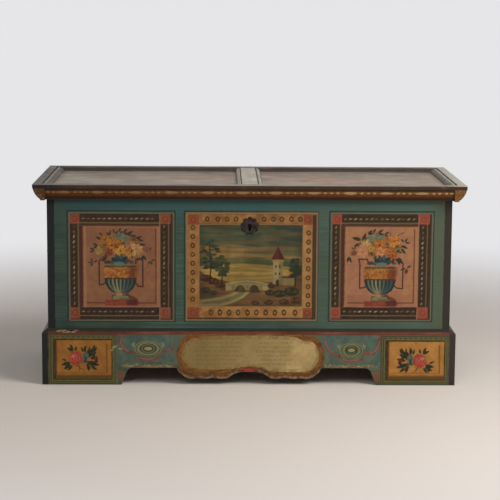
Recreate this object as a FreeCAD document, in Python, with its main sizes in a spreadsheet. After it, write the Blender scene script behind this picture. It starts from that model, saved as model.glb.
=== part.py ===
import FreeCAD, Part
import Sketcher
import os

# A painted wedding chest on a bracket plinth, in millimetres.
# X runs along the front, Y from the front to the back and Z up.
# The origin is on the floor, under the middle of the lid.

# Driving sizes. Each has a name, a value and what it measures.
SIZES = [
    # The dovetailed case
    ("case_width", 1392, "outside, end to end"),
    ("case_depth", 560, "outside, front to back"),
    ("case_height", 605, "from its lower edge to its rim"),
    ("case_base", 62, "lower edge above the floor"),
    ("case_board", 25, "thickness of the four boards"),
    ("case_tails", 7, "dovetails at each corner, a count"),
    ("case_pin_tip", 16, "height of a pin where its end grain shows"),
    ("case_pin_root", 24, "height of a pin at the inner face"),
    # The floor
    ("floor_board", 20, "thickness"),
    ("floor_raise", 15, "underside above the lower edge of the case"),
    ("floor_groove", 10, "how deep the floor sits in the case boards"),
    ("floor_gap", 0.5, "shrinkage gap between two floor boards"),
    # The till at the left end
    ("till_width", 100, "inside, along the chest"),
    ("till_depth", 118, "inside, top to bottom"),
    ("till_drop", 122, "from the rim to the top of the till front"),
    ("till_board", 12, "thickness of its front, bottom and lid"),
    ("till_groove", 6, "how deep they sit in the case boards"),
    ("till_lid_inset", 8, "pivot line to the side board"),
    ("till_lid_reach", 4, "lid past the till front"),
    ("till_lid_gap", 1, "at each end of the lid"),
    ("pintle_radius", 5, "wooden pivots at the ends of the till lid"),
    ("pintle_length", 12, "beyond the end of the lid"),
    ("pintle_play", 0.1, "radial clearance in the holes"),
    # The plinth
    ("plinth_board", 20, "thickness"),
    ("plinth_height", 196, "floor to its top edge"),
    ("plinth_bevel_height", 15, "weathering along its top edge"),
    ("plinth_bevel_depth", 18, "how far the weathering slopes in"),
    ("plinth_tails", 3, "dovetails at each front corner, a count"),
    ("plinth_pin_tip", 12, "height of a pin where its end grain shows"),
    ("plinth_pin_root", 18, "height of a pin at the inner face"),
    ("apron_height", 60, "lower edge of the plinth between its feet"),
    ("foot_width", 274, "front foot, along the floor"),
    ("foot_splay", 16, "how far the foot widens up to its bracket curve"),
    ("foot_rise", 40, "floor to the start of the bracket curve"),
    ("foot_curve", 22, "how far the bracket curve runs along the apron"),
    ("side_foot_width", 118, "side foot, along the floor"),
    ("cartouche_half", 250, "middle of the front to the end of the lobes"),
    ("cartouche_drop", 40, "lowest lobe below the apron's edge"),
    ("cartouche_flat", 25, "half of the level stretch in the middle"),
    ("block_side", 60, "glued corner block under the case"),
    ("block_chamfer", 22, "its inner corner"),
    ("back_foot_width", 150, "bracket board under the back"),
    # The lid
    ("lid_board", 20, "thickness of the three planks"),
    ("lid_overhang_front", 45, "past the case"),
    ("lid_overhang_side", 44, "past the case"),
    ("lid_overhang_back", 15, "past the case"),
    ("lid_lip", 21, "how far the mouldings hang below the rim"),
    ("lid_play", 2, "between the mouldings and the case"),
    ("moulding_setback", 1.5, "moulding behind the edge of the strips"),
    ("moulding_run", 23, "how far the ovolo runs in"),
    ("moulding_bulge", 7, "how far its middle lies behind its upper edge"),
    ("moulding_fillet", 5, "height of the square under the ovolo"),
    ("moulding_step", 2, "how far that square stands back"),
    # The strips laid on the lid, with a moulded inner edge
    ("strip_height", 13, "thickness"),
    ("strip_flat", 30, "level band along the edge of the lid"),
    ("strip_quirk", 3, "width and depth of the groove beside it"),
    ("strip_bead", 10, "width of the bead"),
    ("strip_crown_drop", 0.5, "bead's crown below the level band"),
    ("strip_bead_drop", 2, "bead's edges below its crown"),
    ("strip_ovolo", 15, "width of the quarter round down to the field"),
    ("strip_ovolo_bulge", 3.2, "its crown beyond the straight slope"),
    ("strip_foot", 2, "its square foot"),
    ("muntin_flat", 56, "level band of the middle bar"),
    ("muntin_bead", 4.5, "width of its beads"),
    ("muntin_ovolo", 9.5, "width of its quarter rounds"),
    # The two strap hinges
    ("hinge_spacing", 860, "centre to centre"),
    ("strap_width", 36, "at the back board"),
    ("strap_tip_width", 22, "where the leaf begins"),
    ("strap_leaf", 46, "length of the leaf at the tip"),
    ("strap_leaf_width", 38, "width of the leaf"),
    ("hinge_iron", 3, "thickness of strap and plate"),
    ("hinge_pin_radius", 3.45, "the pin"),
    ("hinge_pin_play", 0.05, "radial clearance of the pin"),
    ("hinge_knuckle", 18, "width of the strap's eye"),
    ("hinge_side_play", 0.4, "between neighbouring eyes"),
    ("hinge_play", 0.3, "between moving iron and its neighbour"),
    ("hinge_pin_end", 2, "pin past the eyes at each end"),
    ("hinge_pin_head", 2.5, "thickness of the riveted ends"),
    ("plate_drop", 100, "plate below the pin"),
    ("plate_tip", 30, "length of its point"),
    ("plate_eye_room", 0.7, "plate clear of the strap's eye"),
    # The lock
    ("keyhole_drop", 112, "rim to the key pin"),
    ("keyhole_radius", 7, "round part"),
    ("keyhole_slot", 7, "width of the slot"),
    ("keyhole_length", 18, "slot below the key pin"),
    ("key_pin_radius", 2.5, "pin that the hollow key turns on"),
    ("key_pin_set_back", 3, "its end behind the front of the board"),
    ("lock_half", 85, "half of the lock case along the chest"),
    ("lock_below", 25, "case below the key pin"),
    ("lock_above", 85, "case above the key pin"),
    ("lock_depth", 26, "case off the board"),
    ("lock_iron", 2.5, "thickness of its sheet"),
    ("lock_flange", 15, "flange at each end"),
    ("lock_flange_inset", 10, "flange shorter than the case, top and bottom"),
    ("bolt_drop", 52, "rim to the middle of the bolt"),
    ("bolt_height", 8, "the bar"),
    ("bolt_thick", 5, "the bar"),
    ("bolt_length", 75, "the bar"),
    ("bolt_travel", 18, "how far it is thrown"),
    ("bolt_tip_gap", 2, "bolt to staple when unlocked"),
    ("bolt_set", 9.5, "bolt off the board"),
    ("bolt_play", 0.3, "in its guides"),
    ("bolt_arm", 12, "width of the arm down to the key"),
    ("bolt_arm_from_tip", 31, "arm behind the tip"),
    ("bolt_foot_drop", 25, "bar to the foot"),
    ("bolt_foot_height", 12, "foot that the key moves"),
    ("bolt_notch", 10, "width of the notch for the key's bit"),
    ("bolt_notch_depth", 7, "depth of that notch"),
    ("bolt_notch_margin", 2, "foot beyond the notch"),
    ("guide_width", 8, "each of the two guides"),
    ("guide_tip_gap", 3, "first guide behind the bolt's tip"),
    ("guide_tail_gap", 53, "second guide behind the bolt's tip"),
    ("guide_height", 22, "guide block"),
    ("guide_set", 7, "guide block off the board"),
    ("staple_thick", 6, "staple that the bolt enters"),
    ("staple_width", 14, "front to back"),
    ("staple_set", 5, "staple off the board"),
    ("staple_eye_height", 12, "hole for the bolt"),
    ("staple_eye_width", 7, "hole for the bolt"),
    ("staple_below", 11, "staple below the middle of the bolt"),
    ("staple_slot_play", 1.5, "slot in the lock case, each side"),
    ("staple_plate", 60, "plate under the lid, along the chest"),
    ("staple_plate_depth", 20, "plate under the lid, front to back"),
    ("staple_plate_set", 2, "plate off the front board"),
    ("escutcheon_radius", 31.5, "over the petals"),
    ("escutcheon_petal", 8.5, "radius of a petal"),
    ("escutcheon_iron", 2, "thickness"),
    ("escutcheon_petals", 9, "a count"),
    # Forged nails, square in the shank and the head
    ("nail_shank", 1.7, "half width of the shank under its head"),
    ("nail_point", 0.7, "half width of the shank at its end"),
    ("nail_head", 5, "half width of the head"),
    ("nail_crown", 1.4, "half width of the small flat on the head"),
    ("nail_rise", 2.6, "height of the head"),
    ("nail_length", 15, "shank, with the iron it passes"),
    ("tack_shank", 1, "half width of the shank of the escutcheon's nails"),
    ("tack_head", 2.6, "half width of their heads"),
    ("tack_rise", 1.4, "height of their heads"),
    ("smith_flats", 8, "flats on a forged washer or rivet, a count"),
    # The two drop handles
    ("handle_height", 430, "pivot above the floor"),
    ("handle_set", 14, "pivot off the side board"),
    ("handle_span", 130, "between the centres of its two arms"),
    ("handle_drop", 72, "pivot to the middle of the grip"),
    ("handle_rod", 5, "centre to the corners of its six flats"),
    ("handle_bend", 9, "radius at the pivots"),
    ("handle_grip_bend", 26, "radius at the grip"),
    ("handle_play", 0.1, "radial clearance in the lugs"),
    ("lug_spacing", 100, "between the centres of the lugs"),
    ("lug_thick", 8, "along the pivot"),
    ("lug_radius", 10, "round end"),
    ("rosette_radius", 17, "washer on the board, centre to its corners"),
    ("rosette_iron", 2.5, "washer on the board"),
    ("pivot_past_lug", 2, "end of the rod past the lug"),
    # For the cuts
    ("overrun", 5, "how far a cutting shape runs past the wood"),
]

# Lower edge of the cartouche's leaves, from the middle outwards. Each row ends one leaf: its
# distance from the middle as a share of the half width, its depth as a share of the drop, and how
# far the edge up to it bows down, as a share of the drop. The first edge is hollow.
LEAF_SHARES = [
    (0.288, 0.90, -0.12),
    (0.500, 0.86, 0.10),
    (0.720, 0.90, 0.10),
    (0.930, 0.62, 0.20),
    (1.000, 0.00, 0.14),
]
# Level stretch in the middle of the cartouche, below the apron, as a share of the drop.
CARTOUCHE_MIDDLE_SHARE = 0.35
# Where the nails of the escutcheon stand, as a share of its petals' ring on each axis.
TACK_SHARE = 0.72

# How far a hinge strap reaches from the back of the lid, and where its nails stand on the way, as
# shares of the width of a lid plank.
STRAP_REACH_SHARE = 1.76
STRAP_NAIL_SHARES = [0.35, 0.73, 1.12, 1.45]
# Where the nails of a back plate stand, as shares of its drop below the pin.
PLATE_NAIL_SHARES = [0.26, 0.50, 0.74]
# How wide the point of a back plate is near its end, as a share of the plate.
PLATE_POINT_SHARE = 0.75
# Corners of the lock's flanges and of the escutcheon that take a nail.
FOUR_CORNERS = [(-1, -1), (-1, 1), (1, -1), (1, 1)]

# Places that follow from the driving sizes, in the same words.
PLACES = [
    ("case_front", "-(sizes.case_depth + sizes.lid_overhang_back - sizes.lid_overhang_front) / 2"),
    ("case_back", "case_front + sizes.case_depth"),
    ("case_half", "sizes.case_width / 2"),
    ("rim", "sizes.case_base + sizes.case_height"),
    ("inner_front", "case_front + sizes.case_board"),
    ("inner_back", "case_back - sizes.case_board"),
    ("inner_half", "case_half - sizes.case_board"),
    ("middle_depth", "(case_front + case_back) / 2"),
    ("floor_under", "sizes.case_base + sizes.floor_raise"),
    ("floor_half", "inner_half + sizes.floor_groove"),
    ("floor_front", "inner_front - sizes.floor_groove"),
    ("floor_back", "inner_back + sizes.floor_groove"),
    ("floor_plank", "(floor_back - floor_front - 2 * sizes.floor_gap) / 3"),
    ("till_top", "rim - sizes.till_drop"),
    ("till_under", "till_top - sizes.till_depth - sizes.till_board"),
    ("till_front_left", "sizes.till_width - inner_half"),
    ("till_pivot_left", "sizes.till_lid_inset - inner_half"),
    ("till_pivot_height", "till_top + sizes.till_board / 2"),
    ("plinth_front_face", "case_front - sizes.plinth_board"),
    ("plinth_half", "case_half + sizes.plinth_board"),
    ("plinth_shoulder", "sizes.plinth_height - sizes.plinth_bevel_height"),
    ("foot_inner", "plinth_half - sizes.foot_width"),
    ("foot_shoulder", "foot_inner - sizes.foot_splay"),
    ("lid_front", "case_front - sizes.lid_overhang_front"),
    ("lid_back", "case_back + sizes.lid_overhang_back"),
    ("lid_half", "case_half + sizes.lid_overhang_side"),
    ("lid_plank_front", "case_front - sizes.lid_play"),
    ("lid_plank_half", "case_half + sizes.lid_play"),
    ("lid_plank", "(lid_back - lid_plank_front) / 3"),
    ("lid_plank_top", "rim + sizes.lid_board"),
    ("lid_top", "lid_plank_top + sizes.strip_height"),
    ("lip_under", "rim - sizes.lid_lip"),
    ("eye_bore", "sizes.hinge_pin_radius + sizes.hinge_pin_play"),
    ("eye_radius", "eye_bore + sizes.hinge_iron"),
    ("hinge_left", "-sizes.hinge_spacing / 2"),
    ("hinge_axis_back", "case_back + eye_radius"),
    ("hinge_axis_height", "rim - eye_radius"),
    ("strap_tip", f"lid_back - {STRAP_REACH_SHARE} * lid_plank"),
    ("knuckle_half", "sizes.hinge_knuckle / 2"),
    ("strap_half", "sizes.strap_width / 2"),
    ("plate_inner", "knuckle_half + sizes.hinge_side_play"),
    ("keyhole_height", "rim - sizes.keyhole_drop"),
    ("lock_under", "keyhole_height - sizes.lock_below"),
    ("lock_top", "keyhole_height + sizes.lock_above"),
    ("bolt_height_middle", "rim - sizes.bolt_drop"),
    ("bolt_tip", "-(sizes.staple_thick / 2 + sizes.bolt_tip_gap)"),
    ("bolt_front", "inner_front + sizes.bolt_set"),
    ("staple_front", "inner_front + sizes.staple_set"),
    ("handle_axis_left", "-(case_half + sizes.handle_set)"),
]

doc = FreeCAD.newDocument("wedding_chest")
sizes = doc.addObject("Spreadsheet::Sheet", "sizes")
places = doc.addObject("Spreadsheet::Sheet", "places")
outlines = doc.addObject("Spreadsheet::Sheet", "outlines")
QUARTER_TURN = 90
X_AXIS = FreeCAD.Vector(1, 0, 0)
Y_AXIS = FreeCAD.Vector(0, 1, 0)
ALONG_X = FreeCAD.Rotation(Y_AXIS, QUARTER_TURN)
ALONG_Y = FreeCAD.Rotation(X_AXIS, -QUARTER_TURN)
FACING_FRONT = FreeCAD.Rotation(X_AXIS, QUARTER_TURN)
UPRIGHT = FreeCAD.Rotation()
UPSIDE_DOWN = FreeCAD.Rotation(X_AXIS, 2 * QUARTER_TURN)
# How a nail is driven: the way its head faces, and the way its shank goes.
DRIVEN_UP = (UPSIDE_DOWN, UPRIGHT)
DRIVEN_FORWARD = (ALONG_Y, FACING_FRONT)
DRIVEN_BACK = (FACING_FRONT, ALONG_Y)
NODES = []


def fill_sheets():
    """Write the driving sizes as plain numbers and the places as formulas."""
    for row, (alias, value, note) in enumerate(SIZES, 1):
        sizes.set(f"A{row}", alias)
        sizes.set(f"B{row}", str(value))
        sizes.set(f"C{row}", note)
        sizes.setAlias(f"B{row}", alias)
    doc.recompute()
    for row, (alias, formula) in enumerate(PLACES, 1):
        places.set(f"A{row}", alias)
        places.setAlias(f"B{row}", alias)
    for row, (alias, formula) in enumerate(PLACES, 1):
        places.set(f"B{row}", "=" + formula)
    doc.recompute()


fill_sheets()


def sub_part(name, piece):
    """Name a finished piece as one sub-part of the chest."""
    piece.Label = name
    NODES.append(piece)
    return piece


def bind(piece, **formulas):
    """Bind a piece's own sizes to formulas over the sheets."""
    for size, formula in formulas.items():
        piece.setExpression(size, formula)
    return piece


def put(piece, x, y, z):
    """Bind a piece's place."""
    piece.setExpression("Placement.Base.x", x)
    piece.setExpression("Placement.Base.y", y)
    piece.setExpression("Placement.Base.z", z)
    return piece


def box(name, x, y, z, length, width, height):
    """A squared piece, from its lowest corner."""
    piece = doc.addObject("Part::Box", name)
    bind(piece, Length=length, Width=width, Height=height)
    return put(piece, x, y, z)


def rod(name, turn, x, y, z, radius, length):
    """A round rod that starts at a point and runs along the turned axis."""
    piece = doc.addObject("Part::Cylinder", name)
    piece.Placement.Rotation = turn
    bind(piece, Radius=radius, Height=length)
    return put(piece, x, y, z)


def smithed(name, turn, x, y, z, radius, length):
    """A forged disc or bar with flats in place of a round, centred on its axis."""
    piece = doc.addObject("Part::Prism", name)
    piece.Placement.Rotation = turn
    bind(piece, Polygon="sizes.smith_flats", Circumradius=radius, Height=length)
    return put(piece, x, y, z)


def tapered(name, turn, x, y, z, base, end, length):
    """A square forged spike or head, centred on its axis, from its base to its end."""
    piece = doc.addObject("Part::Wedge", name)
    piece.Placement.Rotation = turn.multiply(FACING_FRONT)
    bind(piece, Xmin=f"-({base})", Xmax=base, Zmin=f"-({base})", Zmax=base, Ymin="0")
    bind(piece, X2min=f"-({end})", X2max=end, Z2min=f"-({end})", Z2max=end, Ymax=length)
    return put(piece, x, y, z)


def together(name, pieces):
    """Several solids held as one group."""
    group = doc.addObject("Part::Compound", name)
    group.Links = pieces
    return group


def cut(name, base, tools):
    """A piece with one or more shapes taken out of it."""
    piece = doc.addObject("Part::Cut", name)
    piece.Base = base
    piece.Tool = tools[0] if len(tools) == 1 else together(name + "_tools", tools)
    return piece


def fuse(name, pieces):
    """Pieces forged or glued into one solid."""
    piece = doc.addObject("Part::MultiFuse", name)
    piece.Shapes = pieces
    piece.Refine = True
    return piece


def mirrored(name, source):
    """The right-hand twin of a left-hand piece."""
    piece = doc.addObject("Part::Mirroring", name)
    piece.Source = source
    piece.Base = FreeCAD.Vector(0, 0, 0)
    piece.Normal = X_AXIS
    return piece


# Sketches
# A sketch on the front plane has X to the right and Z up, one on the side plane has Y and Z,
# and one on the ground plane has X and Y. Each corner of an outline is a pair of formulas, or
# four: a point that an arc passes through, and the corner where that arc ends.
FRONT = "XZ_Plane"
SIDE = "YZ_Plane"
GROUND = "XY_Plane"
outline_row = 0


def origin_feature(body, role):
    """One of a body's own planes or axes."""
    return [feature for feature in body.Origin.OriginFeatures if feature.Role == role][0]


def noted(formula):
    """Write a formula in the outlines sheet and give back its cell."""
    global outline_row
    outline_row += 1
    cell = f"A{outline_row}"
    outlines.set(cell, "=" + formula)
    return cell


def new_sketch(body, plane, start):
    """A sketch on one of the body's planes, moved along it to its start."""
    sketch = body.newObject("Sketcher::SketchObject", body.Name + "_sketch")
    sketch.AttachmentSupport = [(origin_feature(body, plane), "")]
    sketch.MapMode = "FlatFace"
    offset = f"-({start})" if plane == FRONT else start
    sketch.setExpression(".AttachmentOffset.Base.z", offset)
    return sketch


def hold(sketch, constraint, cell):
    """Add a size to a sketch and bind it to its cell."""
    number = sketch.addConstraint(constraint)
    sketch.setExpression(f"Constraints[{number}]", f"outlines.{cell}")


def hold_point(sketch, edge, end, cells, point):
    """Hold a point of the sketch at its two coordinates."""
    hold(sketch, Sketcher.Constraint("DistanceX", -1, 1, edge, end, point.x), cells[0])
    hold(sketch, Sketcher.Constraint("DistanceY", -1, 1, edge, end, point.y), cells[1])


def read_points(rows):
    """Give each pair of cells its point."""
    outlines.recompute()
    return [[FreeCAD.Vector(outlines.get(u), outlines.get(v), 0) for u, v in row] for row in rows]


def draw_outline(sketch, corners, closed=True):
    """Draw lines and arcs from corner to corner, held by the sheet's formulas."""
    rows = []
    for corner in corners:
        cells = [noted(formula) for formula in corner]
        rows.append([cells[i:i + 2] for i in range(0, len(cells), 2)])
    points = read_points(rows)
    ends = [row[-1] for row in points]
    edges = []
    first = 0 if closed else 1
    for i in range(first, len(corners)):
        start, end = ends[i - 1], ends[i]
        if len(points[i]) == 1:
            edge = sketch.addGeometry(Part.LineSegment(start, end), False)
            edges.append((edge, 1, 2))
            continue
        through = points[i][0]
        left_turn = (through - start).cross(end - start).z > 0
        arc = Part.Arc(start, through, end) if left_turn else Part.Arc(end, through, start)
        edge = sketch.addGeometry(arc, False)
        edges.append((edge, 1, 2) if left_turn else (edge, 2, 1))
        mark = sketch.addGeometry(Part.Point(through), True)
        sketch.addConstraint(Sketcher.Constraint("PointOnObject", mark, 1, edge))
        hold_point(sketch, mark, 1, rows[i][0], through)
    for i, (edge, start_end, far_end) in enumerate(edges):
        corner = i + first
        hold_point(sketch, edge, far_end, rows[corner][-1], ends[corner])
        if closed or i + 1 < len(edges):
            following = edges[(i + 1) % len(edges)]
            joint = Sketcher.Constraint("Coincident", edge, far_end, following[0], following[1])
            sketch.addConstraint(joint)
    if not closed:
        hold_point(sketch, edges[0][0], edges[0][1], rows[0][-1], ends[0])
    return sketch


def draw_circle(sketch, u, v, radius):
    """Draw a circle held by formulas."""
    cells = [noted(u), noted(v)]
    size = noted(radius)
    centre = read_points([[cells]])[0][0]
    circle = Part.Circle(centre, FreeCAD.Vector(0, 0, 1), outlines.get(size))
    edge = sketch.addGeometry(circle, False)
    hold_point(sketch, edge, 3, cells, centre)
    hold(sketch, Sketcher.Constraint("Radius", edge, outlines.get(size)), size)
    return sketch


def pad(body, sketch, length):
    """Raise a sketch to a solid, towards the right, the back or the top."""
    feature = body.newObject("PartDesign::Pad", body.Name + "_pad")
    feature.Profile = sketch
    feature.Reversed = sketch.AttachmentSupport[0][0].Role == FRONT
    feature.setExpression("Length", length)
    body.Tip = feature
    return feature


def pocket(body, sketch):
    """Cut a sketch right through the body, both ways."""
    feature = body.newObject("PartDesign::Pocket", body.Name + "_pocket")
    feature.Profile = sketch
    feature.Type = "ThroughAll"
    feature.SideType = "Symmetric"
    body.Tip = feature
    return feature


def new_body(name):
    return doc.addObject("PartDesign::Body", name)


def profiled(name, plane, corners, start, length):
    """A body with one outline along its whole length."""
    body = new_body(name)
    pad(body, draw_outline(new_sketch(body, plane, start), corners), length)
    return body


def repeat_up(body, feature, length, copies):
    """Repeat a feature at an even pitch up the body."""
    pattern = body.newObject("PartDesign::LinearPattern", body.Name + "_pattern")
    pattern.Originals = [feature]
    pattern.Direction = (origin_feature(body, "Z_Axis"), [""])
    bind(pattern, Length=length, Occurrences=copies)
    body.Tip = pattern
    return pattern


def mirror_whole(body):
    """Add the body's own mirror image across the middle of the chest."""
    doc.recompute()
    twin = body.newObject("PartDesign::Mirrored", body.Name + "_mirror")
    twin.TransformMode = "Whole shape"
    twin.MirrorPlane = (origin_feature(body, SIDE), [""])
    body.Tip = twin
    return twin


def pin_socket(body, inner, outer, base, root, tip):
    """Cut the socket that one dovetail pin fills, at the foot of the joint."""
    past = f"{outer} + sizes.overrun"
    corners = [
        (inner, f"{base} - {root} / 2"),
        (outer, f"{base} - {tip} / 2"),
        (past, f"{base} - {tip} / 2"),
        (past, f"{base} + {tip} / 2"),
        (outer, f"{base} + {tip} / 2"),
        (inner, f"{base} + {root} / 2"),
    ]
    return pocket(body, draw_outline(new_sketch(body, FRONT, "0"), corners))


# The case
# The front and back boards carry the tails, and the pins of the side boards fill their sockets.
# The sockets at the rim and at the lower edge are half sockets.


def tailed_board(name, start):
    """A front or back board, half of it drawn and mirrored."""
    corners = [
        ("0", "sizes.case_base"),
        ("places.case_half", "sizes.case_base"),
        ("places.case_half", "places.rim"),
        ("0", "places.rim"),
    ]
    body = profiled(name, FRONT, corners, start, "sizes.case_board")
    socket = pin_socket(body, "places.inner_half", "places.case_half", "sizes.case_base",
                        "sizes.case_pin_root", "sizes.case_pin_tip")
    repeat_up(body, socket, "sizes.case_height", "sizes.case_tails + 1")
    mirror_whole(body)
    return body


def keyhole_sketch(body):
    """The keyhole's outline, a round top with a slot below it."""
    side = "sizes.keyhole_slot / 2"
    low = "places.keyhole_height - sizes.keyhole_length"
    neck = "places.keyhole_height - sqrt(sizes.keyhole_radius ^ 2 - (sizes.keyhole_slot / 2) ^ 2)"
    corners = [
        (f"-{side}", low),
        (side, low),
        (side, neck),
        ("0", "places.keyhole_height + sizes.keyhole_radius", f"-{side}", neck),
    ]
    return draw_outline(new_sketch(body, FRONT, "0"), corners)


def build_case():
    """Four dovetailed boards, three floor boards, and the housings cut in them."""
    front = tailed_board("front_blank", "places.case_front")
    back = tailed_board("back_blank", "places.inner_back")
    keyhole = new_body("keyhole_cutter")
    sketch = keyhole_sketch(keyhole)
    sketch.setExpression(".AttachmentOffset.Base.z", "-(places.case_front - sizes.overrun)")
    pad(keyhole, sketch, "sizes.case_board + 2 * sizes.overrun")

    floor = box("floor_slab", "-places.floor_half", "places.floor_front", "places.floor_under",
                "2 * places.floor_half", "places.floor_back - places.floor_front",
                "sizes.floor_board")
    for number, place in enumerate(("front", "middle", "back")):
        step = f"{number} * (places.floor_plank + sizes.floor_gap)"
        board = box("floor_" + place, "-places.floor_half", f"places.floor_front + {step}",
                    "places.floor_under", "2 * places.floor_half", "places.floor_plank",
                    "sizes.floor_board")
        sub_part("floor_board_" + place, board)

    till_front, till_bottom = build_till()
    pintle_hole = rod("pintle_hole", ALONG_Y, "places.till_pivot_left",
                      "places.inner_front - sizes.pintle_length", "places.till_pivot_height",
                      "sizes.pintle_radius + sizes.pintle_play",
                      "places.inner_back - places.inner_front + 2 * sizes.pintle_length")
    notches = []
    for side, sign in (("left", ""), ("right", "-")):
        half = "(places.strap_half + sizes.hinge_play)"
        notch = box(side + "_strap_notch", f"{sign}places.hinge_left - {half}",
                    "places.inner_back - sizes.overrun",
                    "places.rim - sizes.hinge_iron - sizes.hinge_play", f"2 * {half}",
                    "sizes.case_board + 2 * sizes.overrun", "sizes.hinge_iron + sizes.overrun")
        notches.append(notch)
    housings = [floor, till_front, till_bottom, pintle_hole]
    sub_part("front_board", cut("front_cut", front, housings + [keyhole]))
    sub_part("back_board", cut("back_cut", back, housings + notches))

    side_blank = box("side_blank", "-places.case_half", "places.case_front", "sizes.case_base",
                     "sizes.case_board", "sizes.case_depth", "sizes.case_height")
    pinned = cut("side_pinned", side_blank, [front, back, floor])
    sub_part("left_side_board", cut("left_side_cut", pinned, [till_bottom]))
    sub_part("right_side_board", mirrored("right_side", pinned))


def build_till():
    """The till's front and bottom, let into the case boards, and its lid on wooden pivots."""
    length = "places.inner_back - places.inner_front + 2 * sizes.till_groove"
    front = box("till_front_board", "places.till_front_left",
                "places.inner_front - sizes.till_groove", "places.till_under", "sizes.till_board",
                length, "sizes.till_depth + sizes.till_board")
    bottom = box("till_bottom_board", "-places.inner_half - sizes.till_groove",
                 "places.inner_front - sizes.till_groove", "places.till_under",
                 "sizes.till_width + sizes.till_groove", length, "sizes.till_board")
    sub_part("till_front", front)
    sub_part("till_bottom", bottom)

    half = "sizes.till_board / 2"
    axis = "places.till_pivot_left"
    right = "places.till_front_left + sizes.till_board + sizes.till_lid_reach"
    corners = [
        (axis, f"places.till_pivot_height - {half}"),
        (right, f"places.till_pivot_height - {half}"),
        (right, f"places.till_pivot_height + {half}"),
        (axis, f"places.till_pivot_height + {half}"),
    ]
    lid = profiled("till_lid_panel", FRONT, corners, "places.inner_front + sizes.till_lid_gap",
                   "places.inner_back - places.inner_front - 2 * sizes.till_lid_gap")
    rounded = rod("till_lid_edge", ALONG_Y, axis, "places.inner_front + sizes.till_lid_gap",
                  "places.till_pivot_height", half,
                  "places.inner_back - places.inner_front - 2 * sizes.till_lid_gap")
    reach = "(sizes.pintle_length - sizes.till_lid_gap)"
    pintles = rod("till_pintles", ALONG_Y, axis, f"places.inner_front - {reach}",
                  "places.till_pivot_height", "sizes.pintle_radius",
                  f"places.inner_back - places.inner_front + 2 * {reach}")
    sub_part("till_lid", fuse("till_lid_fused", [lid, rounded, pintles]))
    return front, bottom


# The plinth
# Its front ends in bracket feet, and between them the apron drops into the leafy lower edge of the
# painted cartouche. Its top edge is weathered. The sides are dovetailed to the front.


def apron_edge():
    """The lower edge of the front, from the middle to the foot."""
    depth = "sizes.apron_height - {0} * sizes.cartouche_drop"
    middle = depth.format(CARTOUCHE_MIDDLE_SHARE)
    corners = [("0", middle), ("sizes.cartouche_flat", middle)]
    before = ("sizes.cartouche_flat", CARTOUCHE_MIDDLE_SHARE)
    for reach, drop, bow in LEAF_SHARES:
        tip = f"{reach} * sizes.cartouche_half"
        lowest = (before[1] + drop) / 2 + bow
        corners.append((f"({before[0]} + {tip}) / 2", depth.format(lowest), tip,
                        depth.format(drop)))
        before = (tip, drop)
    return corners


def bracket_curve():
    """The hollow between the apron and the right foot, from the apron down to the floor."""
    high = "sizes.apron_height"
    shoulder = "places.foot_shoulder"
    return [
        (f"{shoulder} - sizes.foot_curve", high),
        (f"{shoulder} - sizes.foot_curve / 3", f"{high} - ({high} - sizes.foot_rise) / 3",
         shoulder, "sizes.foot_rise"),
        ("places.foot_inner", "0"),
    ]


def front_bevel(body):
    """Take the weathering off the top edge along the front."""
    corners = [
        ("places.plinth_front_face - sizes.overrun", "places.plinth_shoulder"),
        ("places.plinth_front_face", "places.plinth_shoulder"),
        ("places.plinth_front_face + sizes.plinth_bevel_depth", "sizes.plinth_height"),
        ("places.plinth_front_face + sizes.plinth_bevel_depth",
         "sizes.plinth_height + sizes.overrun"),
        ("places.plinth_front_face - sizes.overrun", "sizes.plinth_height + sizes.overrun"),
    ]
    pocket(body, draw_outline(new_sketch(body, SIDE, "0"), corners))


def side_bevel(body, sign):
    """Take the weathering off the top edge along one side."""
    outer = f"{sign} * places.plinth_half"
    slope = f"{sign} * (places.plinth_half - sizes.plinth_bevel_depth)"
    past = f"{sign} * (places.plinth_half + sizes.overrun)"
    corners = [
        (past, "places.plinth_shoulder"),
        (outer, "places.plinth_shoulder"),
        (slope, "sizes.plinth_height"),
        (slope, "sizes.plinth_height + sizes.overrun"),
        (past, "sizes.plinth_height + sizes.overrun"),
    ]
    pocket(body, draw_outline(new_sketch(body, FRONT, "0"), corners))


def build_plinth():
    """The front with its cut lower edge, the two sides, the blocks and the back feet."""
    corners = apron_edge() + bracket_curve()
    corners += [
        ("places.plinth_half", "0"),
        ("places.plinth_half", "sizes.plinth_height"),
        ("0", "sizes.plinth_height"),
    ]
    front = profiled("plinth_front_body", FRONT, corners, "places.plinth_front_face",
                     "sizes.plinth_board")
    front_bevel(front)
    side_bevel(front, "1")
    socket = pin_socket(front, "places.case_half", "places.plinth_half", "0",
                        "sizes.plinth_pin_root", "sizes.plinth_pin_tip")
    repeat_up(front, socket, "places.plinth_shoulder", "sizes.plinth_tails + 1")
    mirror_whole(front)
    sub_part("plinth_front", front)

    front_foot = "places.plinth_front_face + sizes.side_foot_width"
    back_foot = "places.case_back - sizes.side_foot_width"
    corners = [("places.plinth_front_face", "sizes.plinth_height"), ("places.plinth_front_face", "0")]
    corners += side_hollow(front_foot, back_foot)
    corners += [("places.case_back", "0"), ("places.case_back", "sizes.plinth_height")]
    side = profiled("plinth_side_body", SIDE, corners, "-places.plinth_half", "sizes.plinth_board")
    side_bevel(side, "-1")
    front_bevel(side)
    left = cut("plinth_left_cut", side, [front])
    sub_part("plinth_left", left)
    sub_part("plinth_right", mirrored("plinth_right_twin", left))
    build_feet()


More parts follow.
